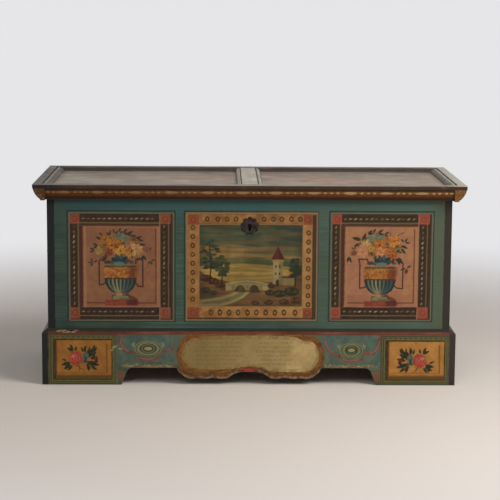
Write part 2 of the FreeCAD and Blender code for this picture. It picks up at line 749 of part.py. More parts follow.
def side_hollow(front_foot, back_foot):
    """The hollow under a side, from its front foot to its back foot."""
    high = "sizes.apron_height"
    third = "sizes.foot_curve / 3"
    rise = f"{high} - ({high} - sizes.foot_rise) / 3"
    front_top = f"{front_foot} + sizes.foot_splay"
    back_top = f"{back_foot} - sizes.foot_splay"
    return [
        (front_foot, "0"),
        (front_top, "sizes.foot_rise"),
        (f"{front_top} + {third}", rise, f"{front_top} + sizes.foot_curve", high),
        (f"{back_top} - sizes.foot_curve", high),
        (f"{back_top} - {third}", rise, back_top, "sizes.foot_rise"),
        (back_foot, "0"),
    ]


def corner_block(name, front, sign):
    """A glued block in a corner of the plinth, chamfered on its inner corner."""
    outer = "-places.case_half"
    inner = f"({outer} + sizes.block_side)"
    far = f"({front} + {sign} * sizes.block_side)"
    corners = [
        (outer, front),
        (inner, front),
        (inner, f"{far} - {sign} * sizes.block_chamfer"),
        (f"{inner} - sizes.block_chamfer", far),
        (outer, far),
    ]
    return profiled(name, GROUND, corners, "0", "sizes.case_base")


def build_feet():
    """The blocks that carry the case, and the two bracket boards under its back."""
    front = corner_block("front_block", "places.case_front", "1")
    back = corner_block("back_block", "(places.case_back - sizes.plinth_board)", "-1")
    sub_part("front_left_block", front)
    sub_part("back_left_block", back)
    sub_part("front_right_block", mirrored("front_block_twin", front))
    sub_part("back_right_block", mirrored("back_block_twin", back))

    outer = "-places.case_half"
    foot = f"{outer} + sizes.back_foot_width"
    corners = [(outer, "0"), (foot, "0")]
    corners += [
        (f"{foot} + sizes.foot_splay", "sizes.foot_rise"),
        (f"{foot} + sizes.foot_splay + sizes.foot_curve / 3",
         "sizes.case_base - (sizes.case_base - sizes.foot_rise) / 3",
         f"{foot} + sizes.foot_splay + sizes.foot_curve", "sizes.case_base"),
        (outer, "sizes.case_base"),
    ]
    bracket = profiled("back_foot_body", FRONT, corners, "places.case_back - sizes.plinth_board",
                       "sizes.plinth_board")
    sub_part("back_left_foot", bracket)
    sub_part("back_right_foot", mirrored("back_foot_twin", bracket))


# The lid
# Three planks, mouldings on three edges that hang down past the rim, and moulded strips on top
# that frame two sunk fields. The moulded edges are mitred in the corners, and the middle bar is
# scribed over the quarter rounds of the rails.


def strip_corners(across, bead, ovolo):
    """The moulded edge of a strip, from its level band down to the field."""
    top = "places.lid_top"
    low = "places.lid_plank_top"
    crown = f"{top} - sizes.strip_crown_drop"
    shoulder = f"{crown} - sizes.strip_bead_drop"
    quirk_end = f"({across}) + sizes.strip_quirk"
    bead_end = f"({quirk_end}) + {bead}"
    foot = f"({bead_end}) + {ovolo}"
    slope_middle = f"({shoulder} + {low} + sizes.strip_foot) / 2"
    return [
        (across, top),
        (across, f"{top} - sizes.strip_quirk"),
        (quirk_end, f"{top} - sizes.strip_quirk"),
        (quirk_end, shoulder),
        (f"({quirk_end}) + {bead} / 2", crown, bead_end, shoulder),
        (f"({bead_end}) + {ovolo} / 2 + sizes.strip_ovolo_bulge / 2",
         f"{slope_middle} + sizes.strip_ovolo_bulge / 2", foot, f"{low} + sizes.strip_foot"),
        (foot, low),
    ]


def turned(corners, turn):
    """Corners with another formula for the way across."""
    return [tuple(turn(c) if i % 2 == 0 else c for i, c in enumerate(corner)) for corner in corners]


def mitre_cutter(name, sign, off_stile):
    """The waste beyond a left-hand mitre: off the stile, or off the rail beside it."""
    edge = "-places.lid_half + sizes.strip_flat"
    width = "(sizes.strip_quirk + sizes.strip_bead + sizes.strip_ovolo)"
    rail = f"{sign} * (places.lid_back - sizes.strip_flat)"
    inner = f"{rail} - {sign} * {width}"
    if off_stile:
        past = f"{rail} + {sign} * (sizes.strip_flat + sizes.overrun)"
        far = f"{edge} + {width}"
        corners = [(edge, rail), (far, inner), (f"{far} + sizes.overrun", inner),
                   (f"{far} + sizes.overrun", past), (edge, past)]
    else:
        past = f"{inner} - {sign} * sizes.overrun"
        corners = [(edge, rail), (f"{edge} + {width}", inner),
                   (f"{edge} + {width} + sizes.overrun", past), (f"{edge} - sizes.overrun", past),
                   (f"{edge} - sizes.overrun", rail)]
    return profiled(name, GROUND, corners, "places.lid_plank_top - sizes.overrun",
                    "sizes.strip_height + 2 * sizes.overrun")


def build_strips():
    """Stiles the whole depth of the lid, rails between them and a bar in the middle."""
    wide = strip_corners("sizes.strip_flat", "sizes.strip_bead", "sizes.strip_ovolo")
    outline = [("0", "places.lid_plank_top"), ("0", "places.lid_top")] + wide
    stile = profiled("stile_body", FRONT, turned(outline, lambda c: f"{c} - places.lid_half"),
                     "places.lid_front", "places.lid_back - places.lid_front")
    ends = [mitre_cutter("stile_front_mitre", "-1", True),
            mitre_cutter("stile_back_mitre", "1", True)]
    left = cut("stile_mitred", stile, ends)
    sub_part("lid_left_strip", left)
    sub_part("lid_right_strip", mirrored("right_stile", left))

    start = "sizes.strip_flat - places.lid_half"
    length = "2 * (places.lid_half - sizes.strip_flat)"
    rails = []
    for place, edge, inward, sign in (("front", "places.lid_front", "+", "-1"),
                                      ("back", "places.lid_back", "-", "1")):
        shape = turned(outline, lambda c, e=edge, w=inward: f"{e} {w} ({c})")
        body = profiled(place + "_rail_body", SIDE, shape, start, length)
        waste = mitre_cutter(place + "_rail_mitre", sign, False)
        rail = cut(place + "_rail", body, [waste, mirrored(place + "_mitre_twin", waste)])
        sub_part(f"lid_{place}_strip", rail)
        rails.append(rail)

    narrow = strip_corners("sizes.muntin_flat / 2", "sizes.muntin_bead", "sizes.muntin_ovolo")
    middle = [("0", "places.lid_plank_top"), ("0", "places.lid_top")]
    shoulder = "(sizes.strip_flat + sizes.strip_quirk + sizes.strip_bead)"
    bar = profiled("muntin_body", FRONT, middle + narrow, f"places.lid_front + {shoulder}",
                   f"places.lid_back - places.lid_front - 2 * {shoulder}")
    mirror_whole(bar)
    sub_part("lid_muntin", cut("muntin_scribed", bar, rails))


def moulding_corners():
    """The hanging moulding, across from the case outwards."""
    play = "sizes.lid_play"
    top = "places.lid_plank_top"
    face = "sizes.lid_overhang_front - sizes.moulding_setback"
    low = "places.lip_under"
    fillet = f"({face} - sizes.moulding_run - sizes.moulding_step)"
    fillet_top = f"{low} + sizes.moulding_fillet"
    middle = f"({top} + {fillet_top}) / 2"
    return [
        (play, low),
        (fillet, low),
        (fillet, fillet_top),
        (f"{face} - sizes.moulding_run", fillet_top),
        (f"{face} - sizes.moulding_bulge", middle, face, top),
        (play, top),
    ]


def build_lid():
    """Planks, mouldings and strips."""
    for number, place in enumerate(("front", "middle", "back")):
        board = box("lid_plank_" + place, "-places.lid_plank_half",
                    f"places.lid_plank_front + {number} * places.lid_plank", "places.rim",
                    "2 * places.lid_plank_half", "places.lid_plank", "sizes.lid_board")
        sub_part("lid_board_" + place, board)
    shape = moulding_corners()
    front = profiled("front_moulding_body", SIDE,
                     turned(shape, lambda c: f"places.case_front - ({c})"),
                     "-places.lid_plank_half", "2 * places.lid_plank_half")
    sub_part("lid_front_moulding", front)
    inset = "sizes.lid_overhang_side - sizes.lid_overhang_front"
    outward = turned(shape[1:5], lambda c: f"-places.case_half - ({c} + {inset})")
    inward = turned([shape[0], shape[5]], lambda c: f"-places.case_half - ({c})")
    side = profiled("side_moulding_body", FRONT, [inward[0]] + outward + [inward[1]],
                    "places.lid_front", "places.lid_back - places.lid_front")
    sub_part("lid_left_moulding", side)
    sub_part("lid_right_moulding", mirrored("side_moulding_twin", side))
    build_strips()


# Nails
# A forged nail has a square peaked head and a tapered square shank, and is turned to the face that
# it is driven into.


def nail(name, driven, x, y, z, kind="nail"):
    """One nail or tack whose head sits on the face at the given point."""
    head_turn, shank_turn = driven
    head = f"sizes.{kind}_head"
    shank = f"sizes.{kind}_shank"
    cap = tapered(name + "_head", head_turn, x, y, z, head,
                  f"sizes.nail_crown * {head} / sizes.nail_head", f"sizes.{kind}_rise")
    spike = tapered(name + "_shank", shank_turn, x, y, z, shank,
                    f"sizes.nail_point * {shank} / sizes.nail_shank", "sizes.nail_length")
    return fuse(name, [cap, spike])


# The strap hinges
# The strap lies under the lid, passes over the back board in a notch and ends in an eye behind it.
# The plate outside the back board has an eye at each side of the strap's, and the pin joins them.


def hinge_eye(body, start, length, radius):
    """A rolled eye round the pin."""
    sketch = new_sketch(body, SIDE, start)
    draw_circle(sketch, "places.hinge_axis_back", "places.hinge_axis_height", radius)
    pad(body, sketch, length)


def hinge_bore(body):
    """The hole for the pin through all the eyes of a body."""
    sketch = new_sketch(body, SIDE, "places.hinge_left")
    draw_circle(sketch, "places.hinge_axis_back", "places.hinge_axis_height", "places.eye_bore")
    pocket(body, sketch)


def strap_corners():
    """The strap from above, with a leaf at its tip."""
    middle = "places.hinge_left"
    tip = "places.strap_tip"
    leaf = f"{tip} + sizes.strap_leaf"
    shoulder = "places.case_back - sizes.hinge_side_play"
    right = [
        (f"{middle} + places.knuckle_half", "places.hinge_axis_back"),
        (f"{middle} + places.knuckle_half", shoulder),
        (f"{middle} + places.strap_half", shoulder),
        (f"{middle} + sizes.strap_tip_width / 2", leaf),
        (f"{middle} + sizes.strap_leaf_width / 2", f"{leaf} - sizes.strap_leaf / 2", middle, tip),
    ]
    left = [
        (f"{middle} - sizes.strap_leaf_width / 2", f"{leaf} - sizes.strap_leaf / 2",
         f"{middle} - sizes.strap_tip_width / 2", leaf),
        (f"{middle} - places.strap_half", shoulder),
        (f"{middle} - places.knuckle_half", shoulder),
        (f"{middle} - places.knuckle_half", "places.hinge_axis_back"),
    ]
    return right + left


def plate_corners():
    """The back plate from behind, with a point at its foot and room for the strap's eye."""
    middle = "places.hinge_left"
    top = "places.hinge_axis_height"
    room = f"{top} - places.eye_radius - sizes.plate_eye_room"
    point = f"{top} - sizes.plate_drop"
    sides = f"{point} + sizes.plate_tip"
    return [
        (f"{middle} - places.strap_half", top),
        (f"{middle} - places.strap_half", sides),
        (f"{middle} - {PLATE_POINT_SHARE} * places.strap_half", f"{point} + sizes.plate_tip / 4",
         middle, point),
        (f"{middle} + {PLATE_POINT_SHARE} * places.strap_half", f"{point} + sizes.plate_tip / 4",
         f"{middle} + places.strap_half", sides),
        (f"{middle} + places.strap_half", top),
        (f"{middle} + places.plate_inner", top),
        (f"{middle} + places.plate_inner", room),
        (f"{middle} - places.plate_inner", room),
        (f"{middle} - places.plate_inner", top),
    ]


def build_hinges():
    """The left hinge and its mirror image, with nails that pass through the iron."""
    strap = profiled("strap_body", GROUND, strap_corners(), "places.rim - sizes.hinge_iron",
                     "sizes.hinge_iron")
    hinge_eye(strap, "places.hinge_left - places.knuckle_half", "sizes.hinge_knuckle",
              "places.eye_radius")
    hinge_bore(strap)
    plate = profiled("plate_body", FRONT, plate_corners(), "places.case_back", "sizes.hinge_iron")
    outer = "places.strap_half - places.plate_inner"
    smaller = "places.eye_radius - sizes.hinge_play"
    hinge_eye(plate, "places.hinge_left - places.strap_half", outer, smaller)
    hinge_eye(plate, "places.hinge_left + places.plate_inner", outer, smaller)
    hinge_bore(plate)

    lid_nails = []
    for number, share in enumerate(STRAP_NAIL_SHARES):
        lid_nails.append(nail(f"strap_nail_{number}", DRIVEN_UP, "places.hinge_left",
                              f"places.lid_back - {share} * places.lid_plank",
                              "places.rim - sizes.hinge_iron"))
    back_nails = []
    for number, share in enumerate(PLATE_NAIL_SHARES):
        back_nails.append(nail(f"plate_nail_{number}", DRIVEN_FORWARD, "places.hinge_left",
                               "places.case_back + sizes.hinge_iron",
                               f"places.hinge_axis_height - {share} * sizes.plate_drop"))
    left_lid_nails = together("left_strap_nails", lid_nails)
    left_back_nails = together("left_plate_nails", back_nails)
    left_strap = cut("strap_nailed", strap, [left_lid_nails])
    left_plate = cut("plate_nailed", plate, [left_back_nails])
    pin = hinge_pin()
    for name, piece in (("hinge_strap", left_strap), ("hinge_plate", left_plate),
                        ("hinge_pin", pin)):
        sub_part("left_" + name, piece)
        sub_part("right_" + name, mirrored(name + "_twin", piece))
    lid_twins = mirrored("right_strap_nails", left_lid_nails)
    back_twins = mirrored("right_plate_nails", left_back_nails)
    sub_part("lid_hinge_nails", together("all_strap_nails", [left_lid_nails, lid_twins]))
    sub_part("back_hinge_nails", together("all_plate_nails", [left_back_nails, back_twins]))


def hinge_pin():
    """The pin, riveted over at both ends."""
    half = "(places.strap_half + sizes.hinge_pin_end)"
    axis = ("places.hinge_axis_back", "places.hinge_axis_height")
    shaft = rod("pin_shaft", ALONG_X, f"places.hinge_left - {half}", axis[0], axis[1],
                "sizes.hinge_pin_radius", f"2 * {half}")
    heads = []
    for number, side in enumerate(("-", "+")):
        start = f"places.hinge_left {side} {half}" + (" - sizes.hinge_pin_head" if number == 0 else "")
        heads.append(smithed(f"pin_head_{number}", ALONG_X, start, axis[0], axis[1],
                             "places.eye_radius - sizes.hinge_play", "sizes.hinge_pin_head"))
    return fuse("hinge_pin", [shaft] + heads)


# The lock
# An iron case on the inside of the front board holds a bolt in two guides. The key turns on the
# pin and moves the foot of the bolt, and the bolt enters the staple that hangs from the lid.


def build_lock():
    """Case, bolt, staple, escutcheon and their nails."""
    case_height = "places.lock_top - places.lock_under"
    shell = box("lock_shell", "-sizes.lock_half", "places.inner_front", "places.lock_under",
                "2 * sizes.lock_half", "sizes.lock_depth", case_height)
    flange_half = "(sizes.lock_half + sizes.lock_flange)"
    flange = box("lock_flanges", f"-{flange_half}", "places.inner_front",
                 "places.lock_under + sizes.lock_flange_inset", f"2 * {flange_half}",
                 "sizes.lock_iron", f"{case_height} - 2 * sizes.lock_flange_inset")
    hollow_half = "(sizes.lock_half - sizes.lock_iron)"
    hollow = box("lock_hollow", f"-{hollow_half}", "places.inner_front - sizes.overrun",
                 "places.lock_under + sizes.lock_iron", f"2 * {hollow_half}",
                 "sizes.lock_depth - sizes.lock_iron + sizes.overrun",
                 f"{case_height} - 2 * sizes.lock_iron")
    slot_half = "(sizes.staple_thick / 2 + sizes.staple_slot_play)"
    slot = box("staple_slot", f"-{slot_half}", "places.inner_front - sizes.overrun",
               "places.lock_top - sizes.lock_iron - sizes.overrun", f"2 * {slot_half}",
               "sizes.staple_set + sizes.staple_width + sizes.staple_slot_play + sizes.overrun",
               "sizes.lock_iron + 2 * sizes.overrun")
    nails = []
    for number, (side, level) in enumerate(FOUR_CORNERS):
        x = f"{side} * (sizes.lock_half + sizes.lock_flange / 2)"
        z = (f"(places.lock_under + places.lock_top) / 2 + {level} * ({case_height}) / 2"
             f" - {level} * (sizes.lock_flange_inset + sizes.lock_flange / 2)")
        nails.append(nail(f"lock_nail_{number}", DRIVEN_FORWARD, x,
                          "places.inner_front + sizes.lock_iron", z))
    lock_nails = together("lock_nail_group", nails)
    body = cut("lock_body", fuse("lock_outside", [shell, flange]), [hollow, slot, lock_nails])
    key_pin = rod("key_pin", ALONG_Y, "0", "places.case_front + sizes.key_pin_set_back",
                  "places.keyhole_height", "sizes.key_pin_radius",
                  "sizes.case_board - sizes.key_pin_set_back + sizes.lock_depth - sizes.lock_iron / 2")
    guides = []
    for name, gap in (("tip_guide", "sizes.guide_tip_gap"), ("tail_guide", "sizes.guide_tail_gap")):
        guides.append(bolt_guide(name, gap))
    sub_part("lock_case", fuse("lock_case_fused", [body, key_pin] + guides))
    sub_part("lock_nails", lock_nails)
    build_bolt()
    build_staple()
    build_escutcheon()


def bolt_guide(name, gap):
    """A block inside the lock case with a window that the bolt slides in."""
    right = f"(places.bolt_tip - {gap})"
    middle = "places.bolt_height_middle"
    block = box(name + "_block", f"{right} - sizes.guide_width",
                "places.inner_front + sizes.guide_set", f"{middle} - sizes.guide_height / 2",
                "sizes.guide_width",
                "sizes.lock_depth - sizes.guide_set - sizes.lock_iron / 2", "sizes.guide_height")
    window = box(name + "_window", f"{right} - sizes.guide_width - sizes.overrun",
                 "places.bolt_front - sizes.bolt_play",
                 f"{middle} - sizes.bolt_height / 2 - sizes.bolt_play",
                 "sizes.guide_width + 2 * sizes.overrun",
                 "sizes.bolt_thick + 2 * sizes.bolt_play",
                 "sizes.bolt_height + 2 * sizes.bolt_play")
    return cut(name, block, [window])


def build_bolt():
    """A bar with an arm that reaches down to the key."""
    tip = "places.bolt_tip"
    top = "places.bolt_height_middle + sizes.bolt_height / 2"
    under = "places.bolt_height_middle - sizes.bolt_height / 2"
    arm_right = f"{tip} - sizes.bolt_arm_from_tip"
    arm_left = f"{arm_right} - sizes.bolt_arm"
    foot_top = f"{under} - sizes.bolt_foot_drop"
    foot_under = f"{foot_top} - sizes.bolt_foot_height"
    notch_right = f"-sizes.bolt_travel / 2 + sizes.bolt_notch / 2"
    notch_left = f"-sizes.bolt_travel / 2 - sizes.bolt_notch / 2"
    foot_right = f"{notch_right} + sizes.bolt_notch_margin"
    notch_top = f"{foot_under} + sizes.bolt_notch_depth"
    corners = [
        (f"{tip} - sizes.bolt_length", under),
        (f"{tip} - sizes.bolt_length", top),
        (tip, top),
        (tip, under),
        (arm_right, under),
        (arm_right, foot_top),
        (foot_right, foot_top),
        (foot_right, foot_under),
        (notch_right, foot_under),
        (notch_right, notch_top),
        (notch_left, notch_top),
        (notch_left, foot_under),
        (arm_left, foot_under),
        (arm_left, under),
    ]
    bolt = profiled("bolt_body", FRONT, corners, "places.bolt_front", "sizes.bolt_thick")
    sub_part("lock_bolt", bolt)


def build_staple():
    """A plate under the lid with a lug that hangs into the lock."""
    plate = box("staple_plate_box", "-sizes.staple_plate / 2",
                "places.inner_front + sizes.staple_plate_set", "places.rim - sizes.hinge_iron",
                "sizes.staple_plate", "sizes.staple_plate_depth", "sizes.hinge_iron")
    front = "places.staple_front"
    back = "places.staple_front + sizes.staple_width"
    middle = "places.staple_front + sizes.staple_width / 2"
    low = "places.bolt_height_middle - sizes.staple_below"
    round_start = f"{low} + sizes.staple_width / 2"
    top = "places.rim - sizes.hinge_iron"
    lug = new_body("staple_lug")
    sketch = new_sketch(lug, SIDE, "-sizes.staple_thick / 2")
    draw_outline(sketch, [(front, top), (front, round_start), (middle, low, back, round_start),
                          (back, top)])
    pad(lug, sketch, "sizes.staple_thick")
    eye_left = f"{middle} - sizes.staple_eye_width / 2"
    eye_right = f"{middle} + sizes.staple_eye_width / 2"
    eye_low = "places.bolt_height_middle - sizes.staple_eye_height / 2"
    eye_high = "places.bolt_height_middle + sizes.staple_eye_height / 2"
    eye = new_sketch(lug, SIDE, "0")
    draw_outline(eye, [(eye_left, eye_low), (eye_right, eye_low), (eye_right, eye_high),
                       (eye_left, eye_high)])
    pocket(lug, eye)
    nails = []
    for number, side in enumerate(("-1", "1")):
        nails.append(nail(f"staple_nail_{number}", DRIVEN_UP, f"{side} * sizes.staple_plate / 3",
                          "places.inner_front + sizes.staple_plate_set + sizes.staple_plate_depth / 2",
                          "places.rim - sizes.hinge_iron"))
    staple_nails = together("staple_nail_group", nails)
    drilled = cut("staple_plate_drilled", plate, [staple_nails])
    sub_part("lid_staple", fuse("staple_fused", [drilled, lug]))
    sub_part("lid_staple_nails", staple_nails)


def build_escutcheon():
    """A small iron flower round the keyhole."""
    body = new_body("escutcheon_body")
    start = "places.case_front - sizes.escutcheon_iron"
    ring = "sizes.escutcheon_radius - sizes.escutcheon_petal"
    disc = draw_circle(new_sketch(body, FRONT, start), "0", "0", ring)
    pad(body, disc, "sizes.escutcheon_iron")
    petal = draw_circle(new_sketch(body, FRONT, start), "0", ring, "sizes.escutcheon_petal")
    raised = pad(body, petal, "sizes.escutcheon_iron")
    pattern = body.newObject("PartDesign::PolarPattern", "escutcheon_pattern")
    pattern.Originals = [raised]
    pattern.Axis = (origin_feature(body, "Y_Axis"), [""])
    pattern.Angle = 4 * QUARTER_TURN
    bind(pattern, Occurrences="sizes.escutcheon_petals")
    body.Tip = pattern
    body.setExpression("Placement.Base.z", "places.keyhole_height")
    hole = new_body("escutcheon_keyhole")
    sketch = keyhole_sketch(hole)
    sketch.setExpression(".AttachmentOffset.Base.z", f"-({start} - sizes.overrun)")
    pad(hole, sketch, "sizes.escutcheon_iron + 2 * sizes.overrun")
    reach = f"{TACK_SHARE} * ({ring})"
    tacks = []
    for number, (side, level) in enumerate(FOUR_CORNERS):
        tacks.append(nail(f"tack_{number}", DRIVEN_BACK, f"{side} * {reach}",
                          "places.case_front - sizes.escutcheon_iron",
                          f"places.keyhole_height + {level} * {reach}", "tack"))
    group = together("tack_group", tacks)
    sub_part("escutcheon", cut("escutcheon_pierced", body, [hole, group]))
    sub_part("escutcheon_nails", group)


# The drop handles
# Each end of the chest has a forged bail that hangs from two lugs and swings up freely.


def build_handles():
    """The left handle and its lugs, and their mirror images."""
    middle = "places.middle_depth"
    axis = "places.handle_axis_left"
    level = "sizes.handle_height"
    bore = rod("lug_bore", ALONG_Y, axis, f"{middle} - sizes.handle_span", level,
               "sizes.handle_rod + sizes.handle_play", "2 * sizes.handle_span")
    lugs = []
    for number, sign in enumerate(("-", "+")):
        centre = f"({middle} {sign} sizes.lug_spacing / 2)"
        rosette = smithed(f"rosette_{number}", ALONG_X,
                          "-places.case_half - sizes.rosette_iron", centre, level,
                          "sizes.rosette_radius", "sizes.rosette_iron")
        tab = box(f"lug_tab_{number}", axis, f"{centre} - sizes.lug_thick / 2",
                  f"{level} - sizes.lug_radius", "sizes.handle_set", "sizes.lug_thick",
                  "2 * sizes.lug_radius")
        end = rod(f"lug_end_{number}", ALONG_Y, axis, f"{centre} - sizes.lug_thick / 2", level,
                  "sizes.lug_radius", "sizes.lug_thick")
        solid = fuse(f"lug_{number}", [rosette, tab, end])
        lugs.append(cut(f"lug_bored_{number}", solid, [bore]))
    left_lugs = together("left_lug_pair", lugs)
    sub_part("left_handle_lugs", left_lugs)
    sub_part("right_handle_lugs", mirrored("right_lug_pair", left_lugs))

    bail = new_body("bail_body")
    bend = "sizes.handle_bend"
    grip_bend = "sizes.handle_grip_bend"
    arm = "sizes.handle_span / 2"
    pivot = "(sizes.lug_spacing - sizes.lug_thick) / 2 - sizes.pivot_past_lug"
    low = "-sizes.handle_drop"
    eighth = "(1 - sqrt(0.5))"
    half = [
        (pivot, "0"),
        (f"{arm} - {bend}", "0"),
        (f"{arm} - {eighth} * {bend}", f"-{eighth} * {bend}", arm, f"-{bend}"),
        (arm, f"{low} + {grip_bend}"),
        (f"{arm} - {eighth} * {grip_bend}", f"{low} + {eighth} * {grip_bend}",
         f"{arm} - {grip_bend}", low),
    ]
    other = [
        (f"-({arm} - {grip_bend})", low),
        (f"-({arm} - {eighth} * {grip_bend})", f"{low} + {eighth} * {grip_bend}",
         f"-({arm})", f"{low} + {grip_bend}"),
        (f"-({arm})", f"-{bend}"),
        (f"-({arm} - {eighth} * {bend})", f"-{eighth} * {bend}", f"-({arm} - {bend})", "0"),
        (f"-({pivot})", "0"),
    ]
    spine = draw_outline(new_sketch(bail, SIDE, "0"), half + other, closed=False)
    corner = "sizes.handle_rod / 2"
    flat = "sqrt(3) / 2 * sizes.handle_rod"
    hexagon = [("sizes.handle_rod", "0"), (corner, flat), (f"-{corner}", flat),
               ("-sizes.handle_rod", "0"), (f"-{corner}", f"-{flat}"), (corner, f"-{flat}")]
    section = draw_outline(new_sketch(bail, FRONT, pivot), hexagon)
    pipe = bail.newObject("PartDesign::AdditivePipe", "bail_pipe")
    pipe.Profile = section
    pipe.Spine = (spine, [])
    bail.Tip = pipe
    put(bail, axis, middle, level)
    sub_part("left_handle", bail)
    sub_part("right_handle", mirrored("right_bail", bail))


def check_and_write():
    """Check every object and every sub-part, then write one file for each."""
    doc.recompute()
    for item in doc.Objects:
        if "Invalid" in item.State or "Error" in item.State:
            raise RuntimeError(f"{item.Label} has not been built: {item.State}")
    for piece in NODES:
        shape = piece.Shape
        if shape.isNull() or not shape.isValid() or shape.Volume <= 0 or not shape.Solids:
            raise RuntimeError(f"{piece.Label} is not a sound solid")
    os.makedirs("parts", exist_ok=True)
    for piece in NODES:
        piece.Shape.exportStep(f"parts/{piece.Label}.step")
        count = len(piece.Shape.Solids)
        print(f"{piece.Label}: {count} solid(s), {piece.Shape.Volume / 1000:.1f} cm3")
    print(len(NODES), "sub-parts")


build_case()
build_plinth()
build_lid()
build_hinges()
build_lock()
build_handles()
check_and_write()
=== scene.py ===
# %% [markdown]
# # A painted wedding chest, dressed over its CAD frame
# The chest was joined from spruce boards, painted in blue-green, and then decorated by hand with urns of
# flowers, a landscape, roses and scrolls. This script loads the measured model as a fixed frame, gives
# every board and iron its real finish, and lays the painting on the front as thin coats of real paint.

# %% Load the frame
import math
import bpy
import numpy as np
from mathutils import Matrix, Vector
from mathutils.bvhtree import BVHTree


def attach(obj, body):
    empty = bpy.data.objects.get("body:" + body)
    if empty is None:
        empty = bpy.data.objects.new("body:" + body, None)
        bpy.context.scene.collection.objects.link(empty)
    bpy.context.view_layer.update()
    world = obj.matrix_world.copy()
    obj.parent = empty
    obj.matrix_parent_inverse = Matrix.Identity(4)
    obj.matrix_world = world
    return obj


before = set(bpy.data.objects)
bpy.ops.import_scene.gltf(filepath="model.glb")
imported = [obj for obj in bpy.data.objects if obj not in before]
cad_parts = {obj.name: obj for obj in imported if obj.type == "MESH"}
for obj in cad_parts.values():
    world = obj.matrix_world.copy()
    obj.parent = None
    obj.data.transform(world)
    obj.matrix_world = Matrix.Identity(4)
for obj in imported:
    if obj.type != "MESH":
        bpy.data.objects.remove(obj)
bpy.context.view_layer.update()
MM = 0.001

# %% [markdown]
# ## Colours and nodes
# A painter's colour is written as an sRGB hex value, as it would be read off a paint card. Shaders count
# in linear light, so one function turns the one into the other. A second small function adds a shader
# node with its settings and links, which keeps each finish below short enough to read in one go.


# %% Two helpers
def linear(colour):
    """An sRGB hex colour as the three linear numbers that shaders use."""
    shares = np.array([int(colour[n:n + 2], 16) for n in (0, 2, 4)]) / 255
    return np.where(shares <= 0.04045, shares / 12.92, ((shares + 0.055) / 1.055) ** 2.4)


def add_node(tree, kind, links=None, stops=None, **settings):
    """Adds a node. links fills its sockets by name or number, with a value, a hex colour or a socket."""
    node = tree.nodes.new("ShaderNode" + kind)
    for name, value in settings.items():
        setattr(node, name, value)
    if stops:
        ramp = node.color_ramp
        while len(ramp.elements) < len(stops):
            ramp.elements.new(1)
        for element, (place, colour) in zip(ramp.elements, stops):
            element.position = place
            element.color = (*linear(colour), 1)
    for name, value in (links or {}).items():
        if isinstance(value, bpy.types.NodeSocket):
            tree.links.new(value, node.inputs[name])
        else:
            node.inputs[name].default_value = (*linear(value), 1) if isinstance(value, str) else value
    return node


print("blue-green in linear light", linear("3C4E46").round(3))

# %% [markdown]
# ## Camera
# The photograph was taken from six metres with a long lens, from a little above the lid and a little to
# the left. The camera is placed by its measured position and turned by three small angles. The lens is
# 1680 times a pixel of the 500 pixel frame, which a 36 mm sensor turns into a focal length.

# %% Place the camera
PITCH, YAW, ROLL = (math.radians(angle) for angle in (8.866, -1.057, 0.376))
FRAME_PIXELS, FOCAL_PIXELS = 500, 1680
SENSOR_WIDTH = 36  # mm
CAMERA_PLACE = (-0.1043, -5.9809, 1.3595)  # metres
forward = Vector((-math.sin(YAW) * math.cos(PITCH), math.cos(YAW) * math.cos(PITCH), -math.sin(PITCH)))
level = Vector((math.cos(YAW), math.sin(YAW), 0))
upright = level.cross(forward)
across = math.cos(ROLL) * level + math.sin(ROLL) * upright
up = math.cos(ROLL) * upright - math.sin(ROLL) * level

lens = bpy.data.cameras.new("photo_camera")
lens.sensor_width = SENSOR_WIDTH
lens.lens = FOCAL_PIXELS * SENSOR_WIDTH / FRAME_PIXELS
lens.shift_y = 1 / FRAME_PIXELS
lens.clip_end = 50
camera = bpy.data.objects.new("photo_camera", lens)
turn = Matrix((across, up, -forward)).transposed().to_4x4()
camera.matrix_world = Matrix.Translation(CAMERA_PLACE) @ turn
bpy.context.collection.objects.link(camera)
bpy.context.scene.camera = camera
print("lens", round(lens.lens, 2), "mm, looking", [round(value, 3) for value in forward])

# %% [markdown]
# ## Floor and light
# The chest stands in a plain studio. One soft lamp stands near and high at the right, so that the left
# end of the front and of the lid lies a little darker, and a weak one fills from high in front. The world
# seen by the camera is nearly white, while the light it casts is set apart. The floor keeps the shadow
# near the chest, and farther off the camera sees it fade into that same white, as a paper sweep does.

# %% Floor
BACKDROP = "E6E5E7"
FLOOR_WIDTH, FLOOR_MIDDLE = 30, (0, 8, -0.0005)  # metres
FADE_START, FADE_END = 1.0, 3.4  # metres from the middle of the chest
bpy.ops.mesh.primitive_grid_add(size=FLOOR_WIDTH, x_subdivisions=4, y_subdivisions=4, location=FLOOR_MIDDLE)
floor = bpy.context.object
floor.name = "studio_floor"
floor_finish = bpy.data.materials.new("matt_studio_floor")
floor_finish.use_nodes = True
nodes = floor_finish.node_tree
nodes.nodes.clear()
place = add_node(nodes, "NewGeometry").outputs["Position"]
far = add_node(nodes, "VectorMath", {0: place}, operation="LENGTH").outputs["Value"]
fade = {"Value": far, "From Min": FADE_START, "From Max": FADE_END, "To Max": 1.0}
faded = add_node(nodes, "MapRange", fade, interpolation_type="SMOOTHSTEP").outputs[0]
direct = add_node(nodes, "LightPath").outputs["Is Camera Ray"]
faded = add_node(nodes, "Math", {0: faded, 1: direct}, operation="MULTIPLY").outputs[0]
matt = add_node(nodes, "BsdfPrincipled", {"Base Color": "E2D7CC", "Roughness": 0.9}).outputs[0]
sweep = add_node(nodes, "Emission", {"Color": BACKDROP, "Strength": 1.0}).outputs[0]
either = add_node(nodes, "MixShader", {0: faded, 1: matt, 2: sweep})
add_node(nodes, "OutputMaterial", {"Surface": either.outputs[0]})
floor.data.materials.append(floor_finish)
print("floor", [round(value, 2) for value in floor.dimensions])


